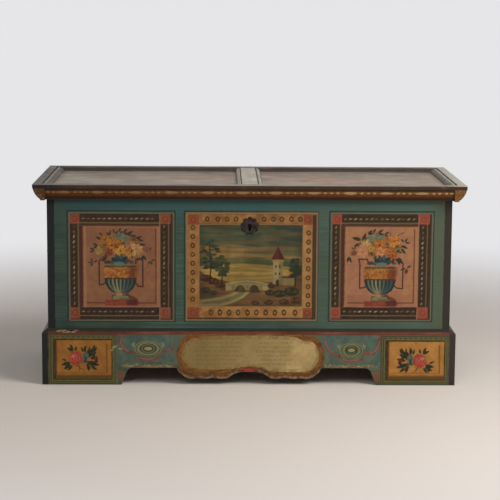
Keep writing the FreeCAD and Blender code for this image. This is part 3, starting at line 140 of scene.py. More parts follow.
# %% Lamps and world
def soft_lamp(name, place, target, size, watts):
    """A square lamp of that size in metres that faces the target."""
    lamp = bpy.data.lights.new(name, "AREA")
    lamp.size = size
    lamp.energy = watts
    stand = bpy.data.objects.new(name, lamp)
    stand.location = place
    stand.rotation_euler = (Vector(target) - Vector(place)).to_track_quat("-Z", "Y").to_euler()
    bpy.context.collection.objects.link(stand)


soft_lamp("key_lamp", place=(2.1, -1.75, 2.5), target=(0.15, 0, 0.4), size=1.6, watts=78)
soft_lamp("fill_lamp", place=(-1.0, -4.0, 3.1), target=(0, 0, 0.4), size=1.8, watts=31)

world = bpy.data.worlds.new("studio_world")
bpy.context.scene.world = world
world.use_nodes = True
sky = world.node_tree
sky.nodes.clear()
ray = add_node(sky, "LightPath").outputs
seen = ray["Is Camera Ray"]
for kind in ("Is Glossy Ray", "Is Transmission Ray"):
    seen = add_node(sky, "Math", {0: seen, 1: ray[kind]}, operation="MAXIMUM").outputs[0]
cast = add_node(sky, "Background", {"Color": "F2F3F5", "Strength": 0.32})
shown = add_node(sky, "Background", {"Color": BACKDROP, "Strength": 1.0})
either = add_node(sky, "MixShader", {0: seen, 1: cast.outputs[0], 2: shown.outputs[0]})
add_node(sky, "OutputWorld", {"Surface": either.outputs[0]})
bpy.context.scene.view_settings.view_transform = "Standard"

# %% [markdown]
# ## How each finish is built
# Every finish reads the object's own coordinates, which are the chest's measures in metres, so a band
# painted 25 mm wide is 25 mm wide here too. A finish starts with those measures and ends with one shader,
# whose evenly spread values sit on the shader itself and whose relief comes from a height in mm.


# %% Starting and ending a finish
def scaled(at, sizes):
    """The place counted in units of these sizes in mm along x, y and z."""
    each = tuple(1 / (size * MM) for size in sizes)
    return add_node(at["tree"], "VectorMath", {0: at["place"], 1: each}, operation="MULTIPLY").outputs[0]


def start_finish(name):
    """A new material, and at: its nodes, the place of each point in metres, and its measures in mm."""
    finish = bpy.data.materials.new(name)
    finish.use_nodes = True
    tree = finish.node_tree
    tree.nodes.clear()
    at = {"tree": tree, "place": add_node(tree, "TexCoord").outputs["Object"]}
    in_mm = scaled(at, (1, 1, 1))
    far = add_node(tree, "VectorMath", {0: in_mm}, operation="ABSOLUTE").outputs[0]
    at.update(zip("xyz", add_node(tree, "SeparateXYZ", {0: in_mm}).outputs))
    at.update(zip(("far_x", "far_y"), add_node(tree, "SeparateXYZ", {0: far}).outputs))
    return finish, at


def end_finish(at, colour, rough, height, relief, **even):
    """Ends a finish. height runs from 0 to 1 and stands for relief mm. even holds values for the shader."""
    bump = add_node(at["tree"], "Bump", {"Height": height, "Distance": relief * MM, "Strength": 1.0})
    links = {"Base Color": colour, "Roughness": rough, "Normal": bump.outputs["Normal"]}
    links.update({name.replace("_", " "): value for name, value in even.items()})
    skin = add_node(at["tree"], "BsdfPrincipled", links)
    add_node(at["tree"], "OutputMaterial", {"Surface": skin.outputs[0]})


def noise(at, sizes, detail=4.0, rough=0.55, low=0.3, high=0.7, to=(0.0, 1.0)):
    """Smooth noise with features of these sizes in mm along x, y and z, spread over to."""
    links = {"Vector": scaled(at, sizes), "Scale": 1.0, "Detail": detail, "Roughness": rough}
    raw = add_node(at["tree"], "TexNoise", links)
    even = {"Value": raw.outputs[0], "From Min": low, "From Max": high, "To Min": to[0], "To Max": to[1]}
    return add_node(at["tree"], "MapRange", even).outputs[0]


def along(run, long, wide, thin):
    """Feature sizes along x, y and z for streaks that run along one of them."""
    return {"X": (long, wide, thin), "Y": (wide, long, thin), "Z": (wide, thin, long)}[run]


def coats(at, colour, *layers):
    """Coats laid over a colour in turn. Each has its own colour, then shares that are multiplied."""
    for top, *shares in layers:
        share = shares[0]
        for other in shares[1:]:
            share = add_node(at["tree"], "Math", {0: share, 1: other}, operation="MULTIPLY").outputs[0]
        colour = add_node(at["tree"], "Mix", {0: share, 6: colour, 7: top}, data_type="RGBA").outputs[2]
    return colour


print("finish helpers ready")


# %% [markdown]
# ## Where a band of paint lies
# Many finishes change at a measured place: a dark strip 25 mm wide at the corner, a red line on the
# shoulder of the plinth. The painter's hand makes such an edge wander by about a millimetre.

# %% Bands with a hand painted edge
SHARPNESS = 0.7  # mm over which one colour gives way to the next
BEYOND = 2000  # mm, farther out than any face of the chest


def unsteady(at, name, amount=1.2):
    """A measure in mm with the slow waver of a hand along a line, plus or minus amount."""
    waver = noise(at, (25, 25, 25), detail=3.0, to=(-amount, amount))
    return add_node(at["tree"], "Math", {0: at[name], 1: waver}, operation="ADD").outputs[0]


def between(at, name, low, high, soft=SHARPNESS):
    """1 where the measure of that name lies between low and high mm, and 0 elsewhere."""
    middle, half = (low + high) / 2, (high - low) / 2
    off = add_node(at["tree"], "Math", {0: at[name], 1: middle}, operation="SUBTRACT").outputs[0]
    far = add_node(at["tree"], "Math", {0: off}, operation="ABSOLUTE").outputs[0]
    edge = {"Value": far, "From Min": half + soft, "From Max": half - soft}
    return add_node(at["tree"], "MapRange", edge).outputs[0]


print("bands ready")


# %% [markdown]
# ## Bare spruce
# Inside and at the back the boards were planed and never painted. Spruce is pale when cut and goes
# honey brown and then grey brown with age. Its grain shows as lines 2 to 6 mm apart along the board,
# and broad streaks of it are a little darker or lighter than the rest.

# %% Spruce
SPRUCE, SMOKED = ("4E3826", "6E5236", "8C6C48"), ("3D2D20", "594330", "735840")


def spruce_colour(at, run="X", shades=SPRUCE):
    """The colour of planed spruce with its grain along X, Y or Z, and the height of its grain."""
    sway = noise(at, (260, 260, 260), detail=2.0, to=(-0.008, 0.008))
    swayed = add_node(at["tree"], "VectorMath", {0: at["place"], 1: sway}, operation="ADD").outputs[0]
    moved = {**at, "place": swayed}
    sizes = along(run, 180, 9, 3.2)
    grain = noise(moved, sizes, detail=3.0, rough=0.6, low=0.25, high=0.75, to=(0.0, 0.5))
    broad = noise(moved, [size * 9 for size in sizes], detail=3.0, to=(0.0, 0.5))
    share = add_node(at["tree"], "Math", {0: grain, 1: broad}, operation="ADD").outputs[0]
    return add_node(at["tree"], "ValToRGB", {0: share},
                    list(zip((0.15, 0.5, 0.9), shades))).outputs[0], grain


def bare_inside(at, side, front, soft=0.3, shades=SPRUCE):
    """A coat of bare spruce on whatever lies inside the faces at side mm and front mm."""
    wood, _ = spruce_colour(at, shades=shades)
    within = between(at, "x", -side, side, soft)
    return wood, within, between(at, "y", front, BEYOND, soft)


def planed_spruce(name, run, shades):
    """Aged spruce, planed by hand. Dry wood is dull, so its roughness is high."""
    finish, at = start_finish(name + run.lower())
    colour, grain = spruce_colour(at, run, shades)
    blot = noise(at, (90, 90, 90), detail=5.0, low=0.45, high=0.75)
    rough = add_node(at["tree"], "MapRange", {"Value": grain, "To Min": 0.85, "To Max": 0.6}).outputs[0]
    end_finish(at, coats(at, colour, ("3A2C20", blot, 0.45)), rough, grain, 0.5, Specular_IOR_Level=0.3)
    return finish


spruce = {run: planed_spruce("planed_spruce_along_", run, SPRUCE) for run in "XY"}
smoked = {run: planed_spruce("smoked_spruce_along_", run, SMOKED) for run in "XZ"}
print("spruce finishes", len(spruce) + len(smoked))


# %% [markdown]
# ## Old paint on the case
# The ground colour is a casein milk paint: blue-green, thin, brushed along the boards, and gone olive
# under two centuries of varnish, hands and smoke. The brush leaves streaks about 5 mm apart. The corners
# were painted nearly black, 25 mm wide. Chips show the pale primer below.

# %% Milk paint
def milk_paint(at, shades, run="X", streak=5.0):
    """Streaky casein paint in three shades from dark to light, brushed along X, Y or Z."""
    streaks = noise(at, along(run, 160, streak * 2, streak), detail=5.0, rough=0.6)
    clouds = noise(at, (170, 170, 110), rough=0.6)
    share = add_node(at["tree"], "Math", {0: streaks, 1: clouds}, operation="ADD").outputs[0]
    half = add_node(at["tree"], "Math", {0: share, 1: 0.5}, operation="MULTIPLY").outputs[0]
    return add_node(at["tree"], "ValToRGB", {0: half},
                    list(zip((0.12, 0.5, 0.88), shades))).outputs[0], streaks


def worn_through(at, size, amount):
    """1 in small chips about size mm across. A larger amount gives more of them."""
    return noise(at, (size,) * 3, detail=6.0, rough=0.7, low=0.74 - amount, high=0.78 - amount)


def varnish(at, colour, height, low=0.4, high=0.64, relief=0.12):
    """Ends a painted finish: an uneven old varnish that filters the paint below it to amber."""
    rough = noise(at, (60, 60, 40), to=(low, high))
    amber = add_node(at["tree"], "Mix", {0: 1.0, 6: colour, 7: "FBF7E6"}, data_type="RGBA",
                     blend_type="MULTIPLY")
    end_finish(at, amber.outputs[2], rough, height, relief, IOR=1.45, Specular_IOR_Level=0.2)


print("paint helpers ready")

# %% The case in blue-green with dark corners
CASE_FRONT, CASE_SIDE = -265, 696  # mm
CASE_INSIDE = 671.5, -240.5  # mm, where the bare wood of the sides and of the front begins
LINE_COLOUR = "74736A"


def case_paint():
    """Front and side boards: blue-green outside, dark at the corners, and bare wood inside."""
    finish, at = start_finish("milk_paint_on_the_case")
    ground, streaks = milk_paint(at, ("2D403E", "3C514D", "4C635D"))
    ground = coats(
        at, ground,
        ("386069", between(at, "z", 585, BEYOND, 40), 0.7),
        # Painted light: the ground is lighter towards the right end, where the lamp stands.
        ("5A6B60", between(at, "x", 250, BEYOND, 300), 0.55),
        ("4F5644", noise(at, (120, 120, 90), low=0.48, high=0.75), 0.5),
        ("555946", between(at, "x", 630, BEYOND, 30), 0.55),
        # Painted shade: the ground is darker towards the left end.
        ("26302C", between(at, "x", -BEYOND, -500, 260), 0.4))
    at["out"], at["back"] = unsteady(at, "far_x"), unsteady(at, "y")
    on_side = between(at, "far_x", CASE_SIDE - 0.5, CASE_SIDE + 40, 0.3)
    # The dark corner strips, painted lighter at the right end as painted light.
    tar = coats(at, "1E2125", ("35312F", between(at, "x", 0, BEYOND, 100)))
    colour = coats(
        at, ground,
        (LINE_COLOUR, on_side, between(at, "y", -215, 245), between(at, "z", 235, 600)),
        (ground, on_side, between(at, "y", -211, 241), between(at, "z", 239, 596)),
        (tar, between(at, "out", CASE_SIDE - 25, BEYOND), between(at, "y", -BEYOND, CASE_FRONT + 25)),
        (tar, on_side, between(at, "back", 270, BEYOND)),
        ("7A7058", worn_through(at, 14, 0.03), 0.5),
        bare_inside(at, *CASE_INSIDE, 0.2))
    varnish(at, colour, streaks)
    return finish


case_finish = case_paint()
print("made", case_finish.name)


# %% [markdown]
# ## The plinth
# The plinth is painted like the case. Its sloping shoulder carries a red line with a dark one above, its
# front corners are dark, and the sawn lower edge shows worn paint over brown wood.

# %% Plinth paint
PLINTH_CORNER, PLINTH_INSIDE = 695, (693, -262)  # mm
RED_FROM, DARK_FROM = 179, 186.5  # mm above the floor


def plinth_paint():
    """Blue-green with a red line and a dark one on the shoulder, and dark corners 20 mm wide."""
    finish, at = start_finish("milk_paint_on_the_plinth")
    ground, streaks = milk_paint(at, ("3C463E", "50594E", "626C60"))
    reds, _ = milk_paint(at, ("42241A", "643226", "824A38"), streak=3.0)
    at["out"] = unsteady(at, "far_x")
    at["high"] = unsteady(at, "z", 0.8)
    # The dark corner strips, painted lighter at the right end as painted light.
    tar = coats(at, "222326", ("3C3132", between(at, "x", 0, BEYOND, 100)))
    worn = noise(at, (22, 30, 6), detail=5.0, low=0.5, high=0.6)
    colour = coats(
        at, ground,
        (reds, between(at, "high", RED_FROM, BEYOND)),
        ("2A2A26", between(at, "high", DARK_FROM, BEYOND)),
        ("9A8264", worn, between(at, "high", 183, 191, 2), between(at, "x", -672, -590, 8)),
        (tar, between(at, "out", PLINTH_CORNER, BEYOND), between(at, "y", -BEYOND, -262)),
        ("8A7A60", worn_through(at, 12, 0.035), 0.5),
        ("7C4A34", noise(at, (9, 9, 7), low=0.35, high=0.6), between(at, "far_x", 430, 460, 5),
         between(at, "z", 4, 48, 8), between(at, "y", -BEYOND, -284.5, 0.3)),
        ("2B241E", between(at, "z", -BEYOND, 10, 18), 0.5),
        bare_inside(at, *PLINTH_INSIDE, 0.5, SMOKED))
    varnish(at, colour, streaks)
    return finish


plinth_finish = plinth_paint()
print("made", plinth_finish.name)


# %% [markdown]
# ## The lid
# The lid was used as a seat and a table, so its paint is worn to a grey haze over the boards, with
# streaks of the old pink and ochre marbling left along the grain. The raised strips round it wore most
# on their flat tops. Painted shade darkens the quirk and the slope beside each bead, the inner face of
# the back strip, the boards beside the strips and the left end of the strips. Painted highlights
# lighten the beads and the right strip. The boards are also darker towards the back.

# %% Lid boards and strips
LID_HALVES = {"far_x": 740.0, "far_y": 310.0}  # mm from the middle to the edge
BOARDS_BELOW, LID_TOP = 686, 700  # mm above the floor
QUIRK, BEAD, SLOPE = (28.6, 33), (33, 42), (43, 60)  # mm in from the edge of a strip
BAR_SHIFT = 2.2  # mm that the bar's bead lies nearer to its middle than a strip's to its edge


def lid_paint(name, kind):
    """Worn paint on top with painted shade and highlights, and bare wood below. kind is boards, strips or
    bar.
    """
    finish, at = start_finish(name)
    shades = {"boards": ("7A736E", "9C928D", "BAAFA8"), "strips": ("6E6866", "928B88", "AEA6A2"),
              "bar": ("9A948F", "B7B0AB", "CBC5C0")}[kind]
    colour, streaks = milk_paint(at, shades, "Y" if kind == "bar" else "X", 8.0)
    rims = [add_node(at["tree"], "Math", {0: half, 1: at[axis]}, operation="SUBTRACT").outputs[0]
            for axis, half in LID_HALVES.items()]
    at["rim"] = add_node(at["tree"], "Math", {0: rims[0], 1: rims[1]}, operation="MINIMUM").outputs[0]
    if kind == "bar":
        at["rim"] = add_node(at["tree"], "Math", {0: BAR_SHIFT, 1: at["far_x"]}, operation="ADD").outputs[0]
    at["band"] = unsteady(at, "rim", 0.6)
    if kind == "boards":
        colour = coats(
            at, colour,
            ("A87468", noise(at, (210, 26, 60), low=0.46, high=0.7), between(at, "x", -300, BEYOND, 500),
             0.85),
            ("96744A", noise(at, (130, 22, 50), low=0.5, high=0.7), between(at, "y", -40, BEYOND, 120),
             0.7),
            ("747E78", noise(at, (190, 34, 45), detail=3.0, low=0.55, high=0.75), 0.55),
            ("4A4038", noise(at, (120, 9, 10), detail=5.0, low=0.52, high=0.8), 0.6),
            # Darker towards the back.
            ("453B33", between(at, "y", 230, BEYOND, 160), 0.75),
            # Painted shade: the boards are darker beside the raised strips.
            ("423A33", between(at, "rim", 0, 66, 14), 0.6),
            (spruce_colour(at)[0], between(at, "z", -BEYOND, BOARDS_BELOW, 0.2)))
    else:
        if kind == "strips":
            # Painted shade: the strips are darker towards the left end, and most on the left strip.
            colour = coats(
                at, colour,
                ("443F3E", between(at, "x", -BEYOND, -680, 60), 0.72),
                ("4C4848", between(at, "x", -BEYOND, -500, 260), 0.4))
        outer = between(at, "rim", -5, 1.5, 0.5)
        colour = coats(
            at, colour,
            # Painted light: the right strip is lighter.
            ("BAB5B0", between(at, "x", 700, BEYOND, 30), 0.8),
            # Painted shade on the slope and in the quirk, and a painted highlight on the bead.
            ("4A3F38", between(at, "band", *SLOPE), 0.8),
            ("9A928A", between(at, "band", *BEAD), 0.5),
            ("2A2320", between(at, "band", *QUIRK), 0.92),
            # Painted shade on the inner face of the back strip.
            ("2C2420", between(at, "y", 252, 290, 4), between(at, "z", -BEYOND, LID_TOP - 0.8, 0.3), 0.85),
            ("3C2D26", between(at, "z", -BEYOND, LID_TOP - 1.5, 1.0), outer),
            ("241F20", between(at, "z", -BEYOND, LID_TOP - 2, 1.0), outer,
             between(at, "x", -BEYOND, -640, 60)),
            ("8C5F50", noise(at, (40, 26, 30), low=0.55, high=0.75), 0.25))
    varnish(at, colour, streaks, 0.44, 0.68)
    return finish


lid_board_finish = lid_paint("worn_marbled_paint_with_painted_shade_on_the_lid", "boards")
strip_finish = lid_paint("worn_paint_on_the_lid_strips", "strips")
bar_finish = lid_paint("worn_paint_on_the_middle_bar", "bar")
print("made", lid_board_finish.name, strip_finish.name, bar_finish.name)


# %% [markdown]
# ## The hanging mouldings
# Three mouldings hang round the lid and cover the joint of the chest. They are grained in gold-brown
# glaze over dark, redder in their lower half, with a dark fillet. The sawn ends of the side mouldings
# show at the front as rough speckled end grain.

# %% Moulding paint
MOULDING_HEIGHTS, MOULDING_INSIDE = (646, 687), (697, -266.5)  # mm


def moulding_paint():
    """Gold-brown glaze by height. From the top: a dark band of painted shadow under the strips, gold,
    red-brown, then a dark fillet.
    """
    finish, at = start_finish("gold_brown_glaze_on_the_mouldings")
    at["high"] = unsteady(at, "z", 0.9)
    low, top = MOULDING_HEIGHTS
    share = add_node(at["tree"], "MapRange",
                     {"Value": at["high"], "From Min": low, "From Max": top}).outputs[0]
    # The stops from 0.82 to the top are dark: painted shadow under the overhanging strips.
    stops = [(0.0, "3C372F"), (0.13, "38302A"), (0.17, "4A2A1A"), (0.36, "5C3820"), (0.47, "7C5028"),
             (0.56, "5C3619"), (0.65, "946232"), (0.74, "90602F"), (0.82, "4C2E1A"), (1.0, "2C2018")]
    colour = add_node(at["tree"], "ValToRGB", {0: share}, stops).outputs[0]
    comb = noise(at, (22, 6, 2.2))
    speck = noise(at, (4, 4, 4), detail=5.0)
    left_end, right_end = coats(at, "36241A", ("5E4028", speck)), coats(at, "4A2E1A", ("8A5C34", speck))
    ends = coats(at, left_end, (right_end, between(at, "x", 0, BEYOND, 100)),
                 ("A4743E", noise(at, (9, 9, 7), detail=3.0, low=0.54, high=0.66), 0.6))
    colour = coats(
        at, colour,
        ("3A2212", comb, 0.4),
        ("A87C4C", noise(at, (16, 5, 2.4), low=0.55, high=0.75),
         between(at, "z", 659, 682), 0.45),
        # Painted shade: darker towards the left end.
        ("24160E", between(at, "x", -BEYOND, -400, 260), 0.35),
        (ends, between(at, "y", -BEYOND, -308.5, 0.3), between(at, "far_x", 694, BEYOND, 0.5)),
        bare_inside(at, *MOULDING_INSIDE))
    varnish(at, colour, comb, 0.38, 0.6, relief=0.3)
    return finish


moulding_finish = moulding_paint()
print("made", moulding_finish.name)


# %% [markdown]
# ## Forged iron
# Hinges, lock, handles and nails were forged, so their faces keep soft hammer marks about 12 mm across.
# Old iron that was handled is dark brown-black with a dull sheen, brighter where hands and the key rub.

# %% Iron
def forged_iron(name, dark, light, rust):
    """Wrought iron with hammer marks. Metallic, with a skin of dull brown oxide."""
    finish, at = start_finish(name)
    cells = {"Vector": scaled(at, (12, 12, 12)), "Scale": 1.0}
    marks = add_node(at["tree"], "TexVoronoi", cells, feature="SMOOTH_F1").outputs["Distance"]
    fine = noise(at, (3, 3, 3), detail=5.0, to=(0.42, 0.68))
    clouds = noise(at, (18, 18, 18))
    colour = add_node(at["tree"], "ValToRGB", {0: clouds}, [(0.2, dark), (0.9, light)]).outputs[0]
    colour = coats(at, colour, (rust, noise(at, (9, 9, 9), detail=5.0, low=0.5, high=0.7), 0.6))
    height = add_node(at["tree"], "Math", {0: marks, 1: fine}, operation="ADD").outputs[0]
    end_finish(at, colour, fine, height, 0.35, Metallic=0.75)
    return finish


iron = forged_iron("forged_iron", "1B1A1C", "3C383A", "4A2E22")
lock_iron = forged_iron("forged_iron_of_the_lock", "1E1A19", "3C3532", "4E3426")
print("made", iron.name, lock_iron.name)

# %% [markdown]
# ## Dressing the frame
# Each CAD node keeps its measured shape and only gets its finish. The table says which board runs which
# way, so that the grain follows its length.

# %% Give each node its finish
FINISHES = [
    (case_finish, ("front_board", "left_side_board", "right_side_board")),
    (plinth_finish, ("plinth_front", "plinth_left", "plinth_right")),
    (lid_board_finish, ("lid_board_front", "lid_board_middle", "lid_board_back")),
    (strip_finish, ("lid_front_strip", "lid_back_strip", "lid_left_strip", "lid_right_strip")),
    (bar_finish, ("lid_muntin",)),
    (moulding_finish, ("lid_front_moulding", "lid_left_moulding", "lid_right_moulding")),
    (smoked["X"], ("back_board", "back_left_foot", "back_right_foot")),
    (spruce["X"], ("floor_board_front", "floor_board_middle", "floor_board_back")),
    (spruce["Y"], ("till_front", "till_bottom", "till_lid")),
    (smoked["Z"], ("front_left_block", "front_right_block", "back_left_block", "back_right_block")),
    (lock_iron, ("escutcheon", "escutcheon_nails", "lock_case", "lock_bolt", "lock_nails", "lid_staple",
                 "lid_staple_nails")),
]
dressed = {name: finish for finish, names in FINISHES for name in names}
for name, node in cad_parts.items():
    finish = dressed.get(name, iron)
    for held in node.material_slots:
        held.material = finish
    if not node.material_slots:
        node.data.materials.append(finish)
print("iron nodes", sorted(set(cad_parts) - set(dressed)))

# %% [markdown]
# ## Painting on the front
# The painter laid opaque distemper over the blue-green ground with round brushes. Each painted field is
# made here as one thin sheet of paint, 0.2 to 0.3 mm proud of the board, whose fine mesh carries the
# colour. Strokes are laid one over another as the painter did: ground, bands, lines, then leaves and
# petals. Places are in mm on the front, x to the right of the middle and z up from the floor. A thing
# such as an urn, a tower or a rose is measured from a point of its own.

# %% A primed field
CELL = 1.5  # mm from one point of a field to the next
COAT = 0.2  # mm of ground coat under the strokes
SUNK = 0.3  # mm that the back of a sheet lies in the board
HAND = 0.5  # mm that the painter's hand wanders
PHOTO_PIXEL = 3.4  # mm on the front of the chest


def drift(x, z, size, seed):
    """Smooth noise from -1 to 1, with features about size mm across."""
    u, v = (x - x.min()) / size, (z - z.min()) / size
    lattice = np.random.default_rng(seed).uniform(-1, 1, (int(v.max()) + 2, int(u.max()) + 2))
    row, column = v.astype(int), u.astype(int)
    a, b = v - row, u - column
    a, b = a * a * (3 - 2 * a), b * b * (3 - 2 * b)
    low = lattice[row, column] * (1 - b) + lattice[row, column + 1] * b
    high = lattice[row + 1, column] * (1 - b) + lattice[row + 1, column + 1] * b
    return low * (1 - a) + high * a


def primed(left, right, low, high, ground, seed):
    """A field of paint. low is one height, or a height for each place along x."""
    columns = np.linspace(left, right, round((right - left) / CELL) + 1)
    lows = low(columns) if callable(low) else np.full(columns.shape, float(low))
    rows = np.linspace(0, 1, round((high - lows.min()) / CELL) + 1)[:, None]
    x, z = columns + 0 * rows, lows + rows * (high - lows)
    field = {"x": x, "z": z, "thick": np.full(x.shape, COAT)}
    field["hand_x"] = x + HAND * (drift(x, z, 28, seed) + 0.5 * drift(x, z, 7, seed + 1))
    field["hand_z"] = z + HAND * (drift(x, z, 28, seed + 2) + 0.5 * drift(x, z, 7, seed + 3))
    field["colour"] = np.ones(x.shape + (1,)) * linear(ground)
    return field


def measured_from(field, x, z):
    """The same field of paint, with its strokes measured from the point x, z."""
    return {**field, "hand_x": field["hand_x"] - x, "hand_z": field["hand_z"] - z}


print("a cell of", CELL, "mm is", round(CELL / PHOTO_PIXEL, 2), "of a pixel in the photograph's frame")


# %% [markdown]
# ## Strokes
# A stroke has an inside, measured in mm from its edge. Each function below gives that measure for one
# kind of stroke, and one function lays the colour where the measure is above zero, a little thicker
# than the ground, so that a stroke stands up as brushed paint does.

# %% Insides of boxes, ovals and leaves
def box(field, left, right, low, high):
    """Inside a rectangle."""
    x, z = field["hand_x"], field["hand_z"]
    return np.minimum(np.minimum(x - left, right - x), np.minimum(z - low, high - z))


def turned(field, x, z, turn):
    """Places along and across a direction turn degrees above x, from the point x, z."""
    cosine, sine = math.cos(math.radians(turn)), math.sin(math.radians(turn))
    u, v = field["hand_x"] - x, field["hand_z"] - z
    return u * cosine + v * sine, v * cosine - u * sine


def away_from(x, z, far, turn):
    """The point far mm away from x, z in a direction turn degrees above x."""
    return x + far * math.cos(math.radians(turn)), z + far * math.sin(math.radians(turn))


def oval(field, x, z, half_wide, half_high, turn=0):
    """Inside an oval."""
    u, v = turned(field, x, z, turn)
    return (1 - np.hypot(u / half_wide, v / half_high)) * min(half_wide, half_high)


def ring(field, x, z, half_wide, half_high, width):
    """Inside the line of an oval ring."""
    return width / 2 - np.abs(oval(field, x, z, half_wide, half_high))


def leaf(field, x, z, length, width, turn):
    """Inside a pointed leaf or petal that starts at x, z and points along turn."""
    u, v = turned(field, x, z, turn)
    share = np.clip(u / length, 0, 1)
    past_the_ends = np.maximum(np.maximum(-u, u - length), 0)
    return width / 2 * np.sin(math.pi * share ** 0.8) ** 0.8 - np.abs(v) - 2 * past_the_ends


print("boxes, ovals and leaves ready")


# %% Insides of lines, outlines and turned shapes
def line(field, points, width):
    """Inside a line through points."""
    x, z = field["hand_x"], field["hand_z"]
    nearest = np.full(x.shape, 1e9)
    for (x0, z0), (x1, z1) in zip(points, points[1:]):
        run, rise = x1 - x0, z1 - z0
        share = np.clip(((x - x0) * run + (z - z0) * rise) / (run * run + rise * rise), 0, 1)
        nearest = np.minimum(nearest, np.hypot(x - x0 - share * run, z - z0 - share * rise))
    return width / 2 - nearest


def outline(field, points):
    """Inside a closed outline through points."""
    x, z = field["hand_x"], field["hand_z"]
    inside = np.zeros(x.shape, bool)
    closed = points + points[:1]
    for (x0, z0), (x1, z1) in zip(closed, closed[1:]):
        if z0 != z1:
            inside ^= ((z0 > z) != (z1 > z)) & (x < x0 + (z - z0) * (x1 - x0) / (z1 - z0))
    return np.where(inside, 1, -1) * -line(field, closed, 0)


def curved(points, closed=False):
    """More points, on a smooth curve through the given ones."""
    ends = (points[-1:], points[:2]) if closed else (points[:1], points[-1:])
    known = np.array(ends[0] + points + ends[1], float)
    places = []
    for a, b, c, d in zip(known, known[1:], known[2:], known[3:]):
        for t in (0, 0.25, 0.5, 0.75):
            bend = 2 * a - 5 * b + 4 * c - d + t * (3 * b - a - 3 * c + d)
            places.append(b + 0.5 * t * (c - a + t * bend))
    places += [] if closed else [known[-1]]
    return [tuple(place) for place in places]


def vessel(field, heights, halves):
    """Inside a vessel turned on a wheel, round x = 0, from its half widths at some heights."""
    half = np.interp(field["hand_z"], heights, halves)
    ends = np.minimum(field["hand_z"] - heights[0], heights[-1] - field["hand_z"])
    return np.minimum(half - np.abs(field["hand_x"]), ends)


print("lines, outlines and vessels ready")


# %% Laying colour
def mixed(one, other, share):
    """Two paints stirred together."""
    one, other = (linear(c) if isinstance(c, str) else c for c in (one, other))
    return one + (other - one) * share


def paint(field, colour, inside, strength=1.0, soft=1.4, body=0.06):
    """Lays a colour where inside is above zero, with an edge soft mm wide and body mm thick."""
    share = np.clip(inside / soft + 0.5, 0, 1) * strength
    colour = linear(colour) if isinstance(colour, str) else colour
    field["colour"] += (colour - field["colour"]) * share[..., None]
    field["thick"] += (COAT + body - field["thick"]) * share * (body > 0)


def scumble(field, colour, inside, size, strength, seed):
    """A thin broken coat of colour inside a shape, with gaps about size mm across."""
    x, z = field["x"], field["z"]
    gaps = drift(x, z, size, seed) + 0.5 * drift(x, z, size / 3, seed + 1)
    paint(field, colour, inside, np.clip(0.5 + gaps, 0, 1) * strength, soft=3, body=0)


def lay(field, *strokes):
    """Strokes laid in turn, each as a colour, a strength, a kind of inside and its measures."""
    for colour, strength, inside, *measures in strokes:
        paint(field, colour, inside(field, *measures), strength)


def rectangle(left, right, low, high):
    """The corners of a rectangle, ending at the first one again."""
    return [(left, low), (right, low), (right, high), (left, high), (left, low)]


def lines(field, colour, width, strength, *courses):
    """Soft lines of one colour, each through its own points."""
    for points in courses:
        paint(field, colour, line(field, points, width), strength, soft=2.0, body=0.04)


print("strokes ready")


# %% [markdown]
# ## Petals and leaves
# Folk painters built a flower from a few loaded strokes: rings of round petals pressed against each
# other, each with a dark edge, and a dark heart. Leaves came last in small dark groups. The strokes
# differ a little in angle and tone, and a seeded generator makes that variation the same in each run.

# %% Flowers
def bloom(field, x, z, size, dark, light, heart, seed, petals=9):
    """A full flower, size mm to its petal tips."""
    hand = np.random.default_rng(seed)
    edge = mixed(dark, "2A1A14", 0.4)
    paint(field, dark, oval(field, x, z, size * 0.75, size * 0.7))
    for reach, count, long, wide in ((0.34, petals + 2, 0.68, 0.4), (0.12, petals - 2, 0.5, 0.3)):
        for n in range(count):
            turn = 360 * n / count + hand.uniform(-18, 18)
            start = away_from(x, z, size * reach, turn)
            length, tone = size * long * hand.uniform(0.75, 1.1), mixed(dark, light, hand.uniform(0.1, 1.0))
            paint(field, edge, leaf(field, *start, length + 1, size * wide + 1.6, turn), 0.6)
            paint(field, tone, leaf(field, *start, length, size * wide, turn), 0.95)
            paint(field, light, leaf(field, *start, length * 0.85, size * 0.1 + 0.5, turn + 9), 0.5)
    paint(field, heart, oval(field, x, z, size * 0.2, size * 0.17), 0.9)


def sprigs(field, colour, vein, seed, *places):
    """Pointed leaves in small groups. Each place is x, z, their length and the ways they point."""
    hand = np.random.default_rng(seed)
    for x, z, size, *ways in places:
        for way in ways:
            way += hand.uniform(-6, 6)
            start = away_from(x, z, size * 0.15, way)
            length = size * hand.uniform(0.9, 1.1)
            paint(field, colour, leaf(field, *start, length, size * 0.38, way))
            paint(field, vein, leaf(field, *start, length * 0.8, size * 0.07 + 0.4, way + 6), 0.4)


print("flowers ready")


# %% [markdown]
# ## From paint to a solid sheet
# The painted points become a closed sheet: the face with its strokes, an edge all round, and a back that
# is sunk 0.3 mm in the board, so that no light passes under it. A field with a hole for the key gets a
# back in two halves that meet above and below the hole.

# %% The finish of the painted fields
def distemper():
    """Brushed distemper under a brown varnish, with fine age cracks. The colour is the painter's own."""
    finish, at = start_finish("brushed_distemper_under_varnish")
    strokes = add_node(at["tree"], "Attribute", attribute_name="brushwork").outputs["Color"]
    grain = noise(at, (60, 5, 2.6), detail=5.0, rough=0.65)
    cells = {"Vector": scaled(at, (9, 9, 9)), "Scale": 1.0}
    cracks = add_node(at["tree"], "TexVoronoi", cells, feature="DISTANCE_TO_EDGE").outputs["Distance"]
    crack = add_node(at["tree"], "MapRange",
                     {"Value": cracks, "From Min": 0.05, "From Max": 0.0}).outputs[0]
    where = noise(at, (50, 50, 50), detail=3.0, low=0.45, high=0.7)
    colour = coats(at, strokes, ("1E1812", grain, 0.14), ("2A2018", crack, where, 0.4))
    varnish(at, colour, grain, 0.42, 0.62, 0.1)
    return finish


field_finish = distemper()
print("made", field_finish.name)


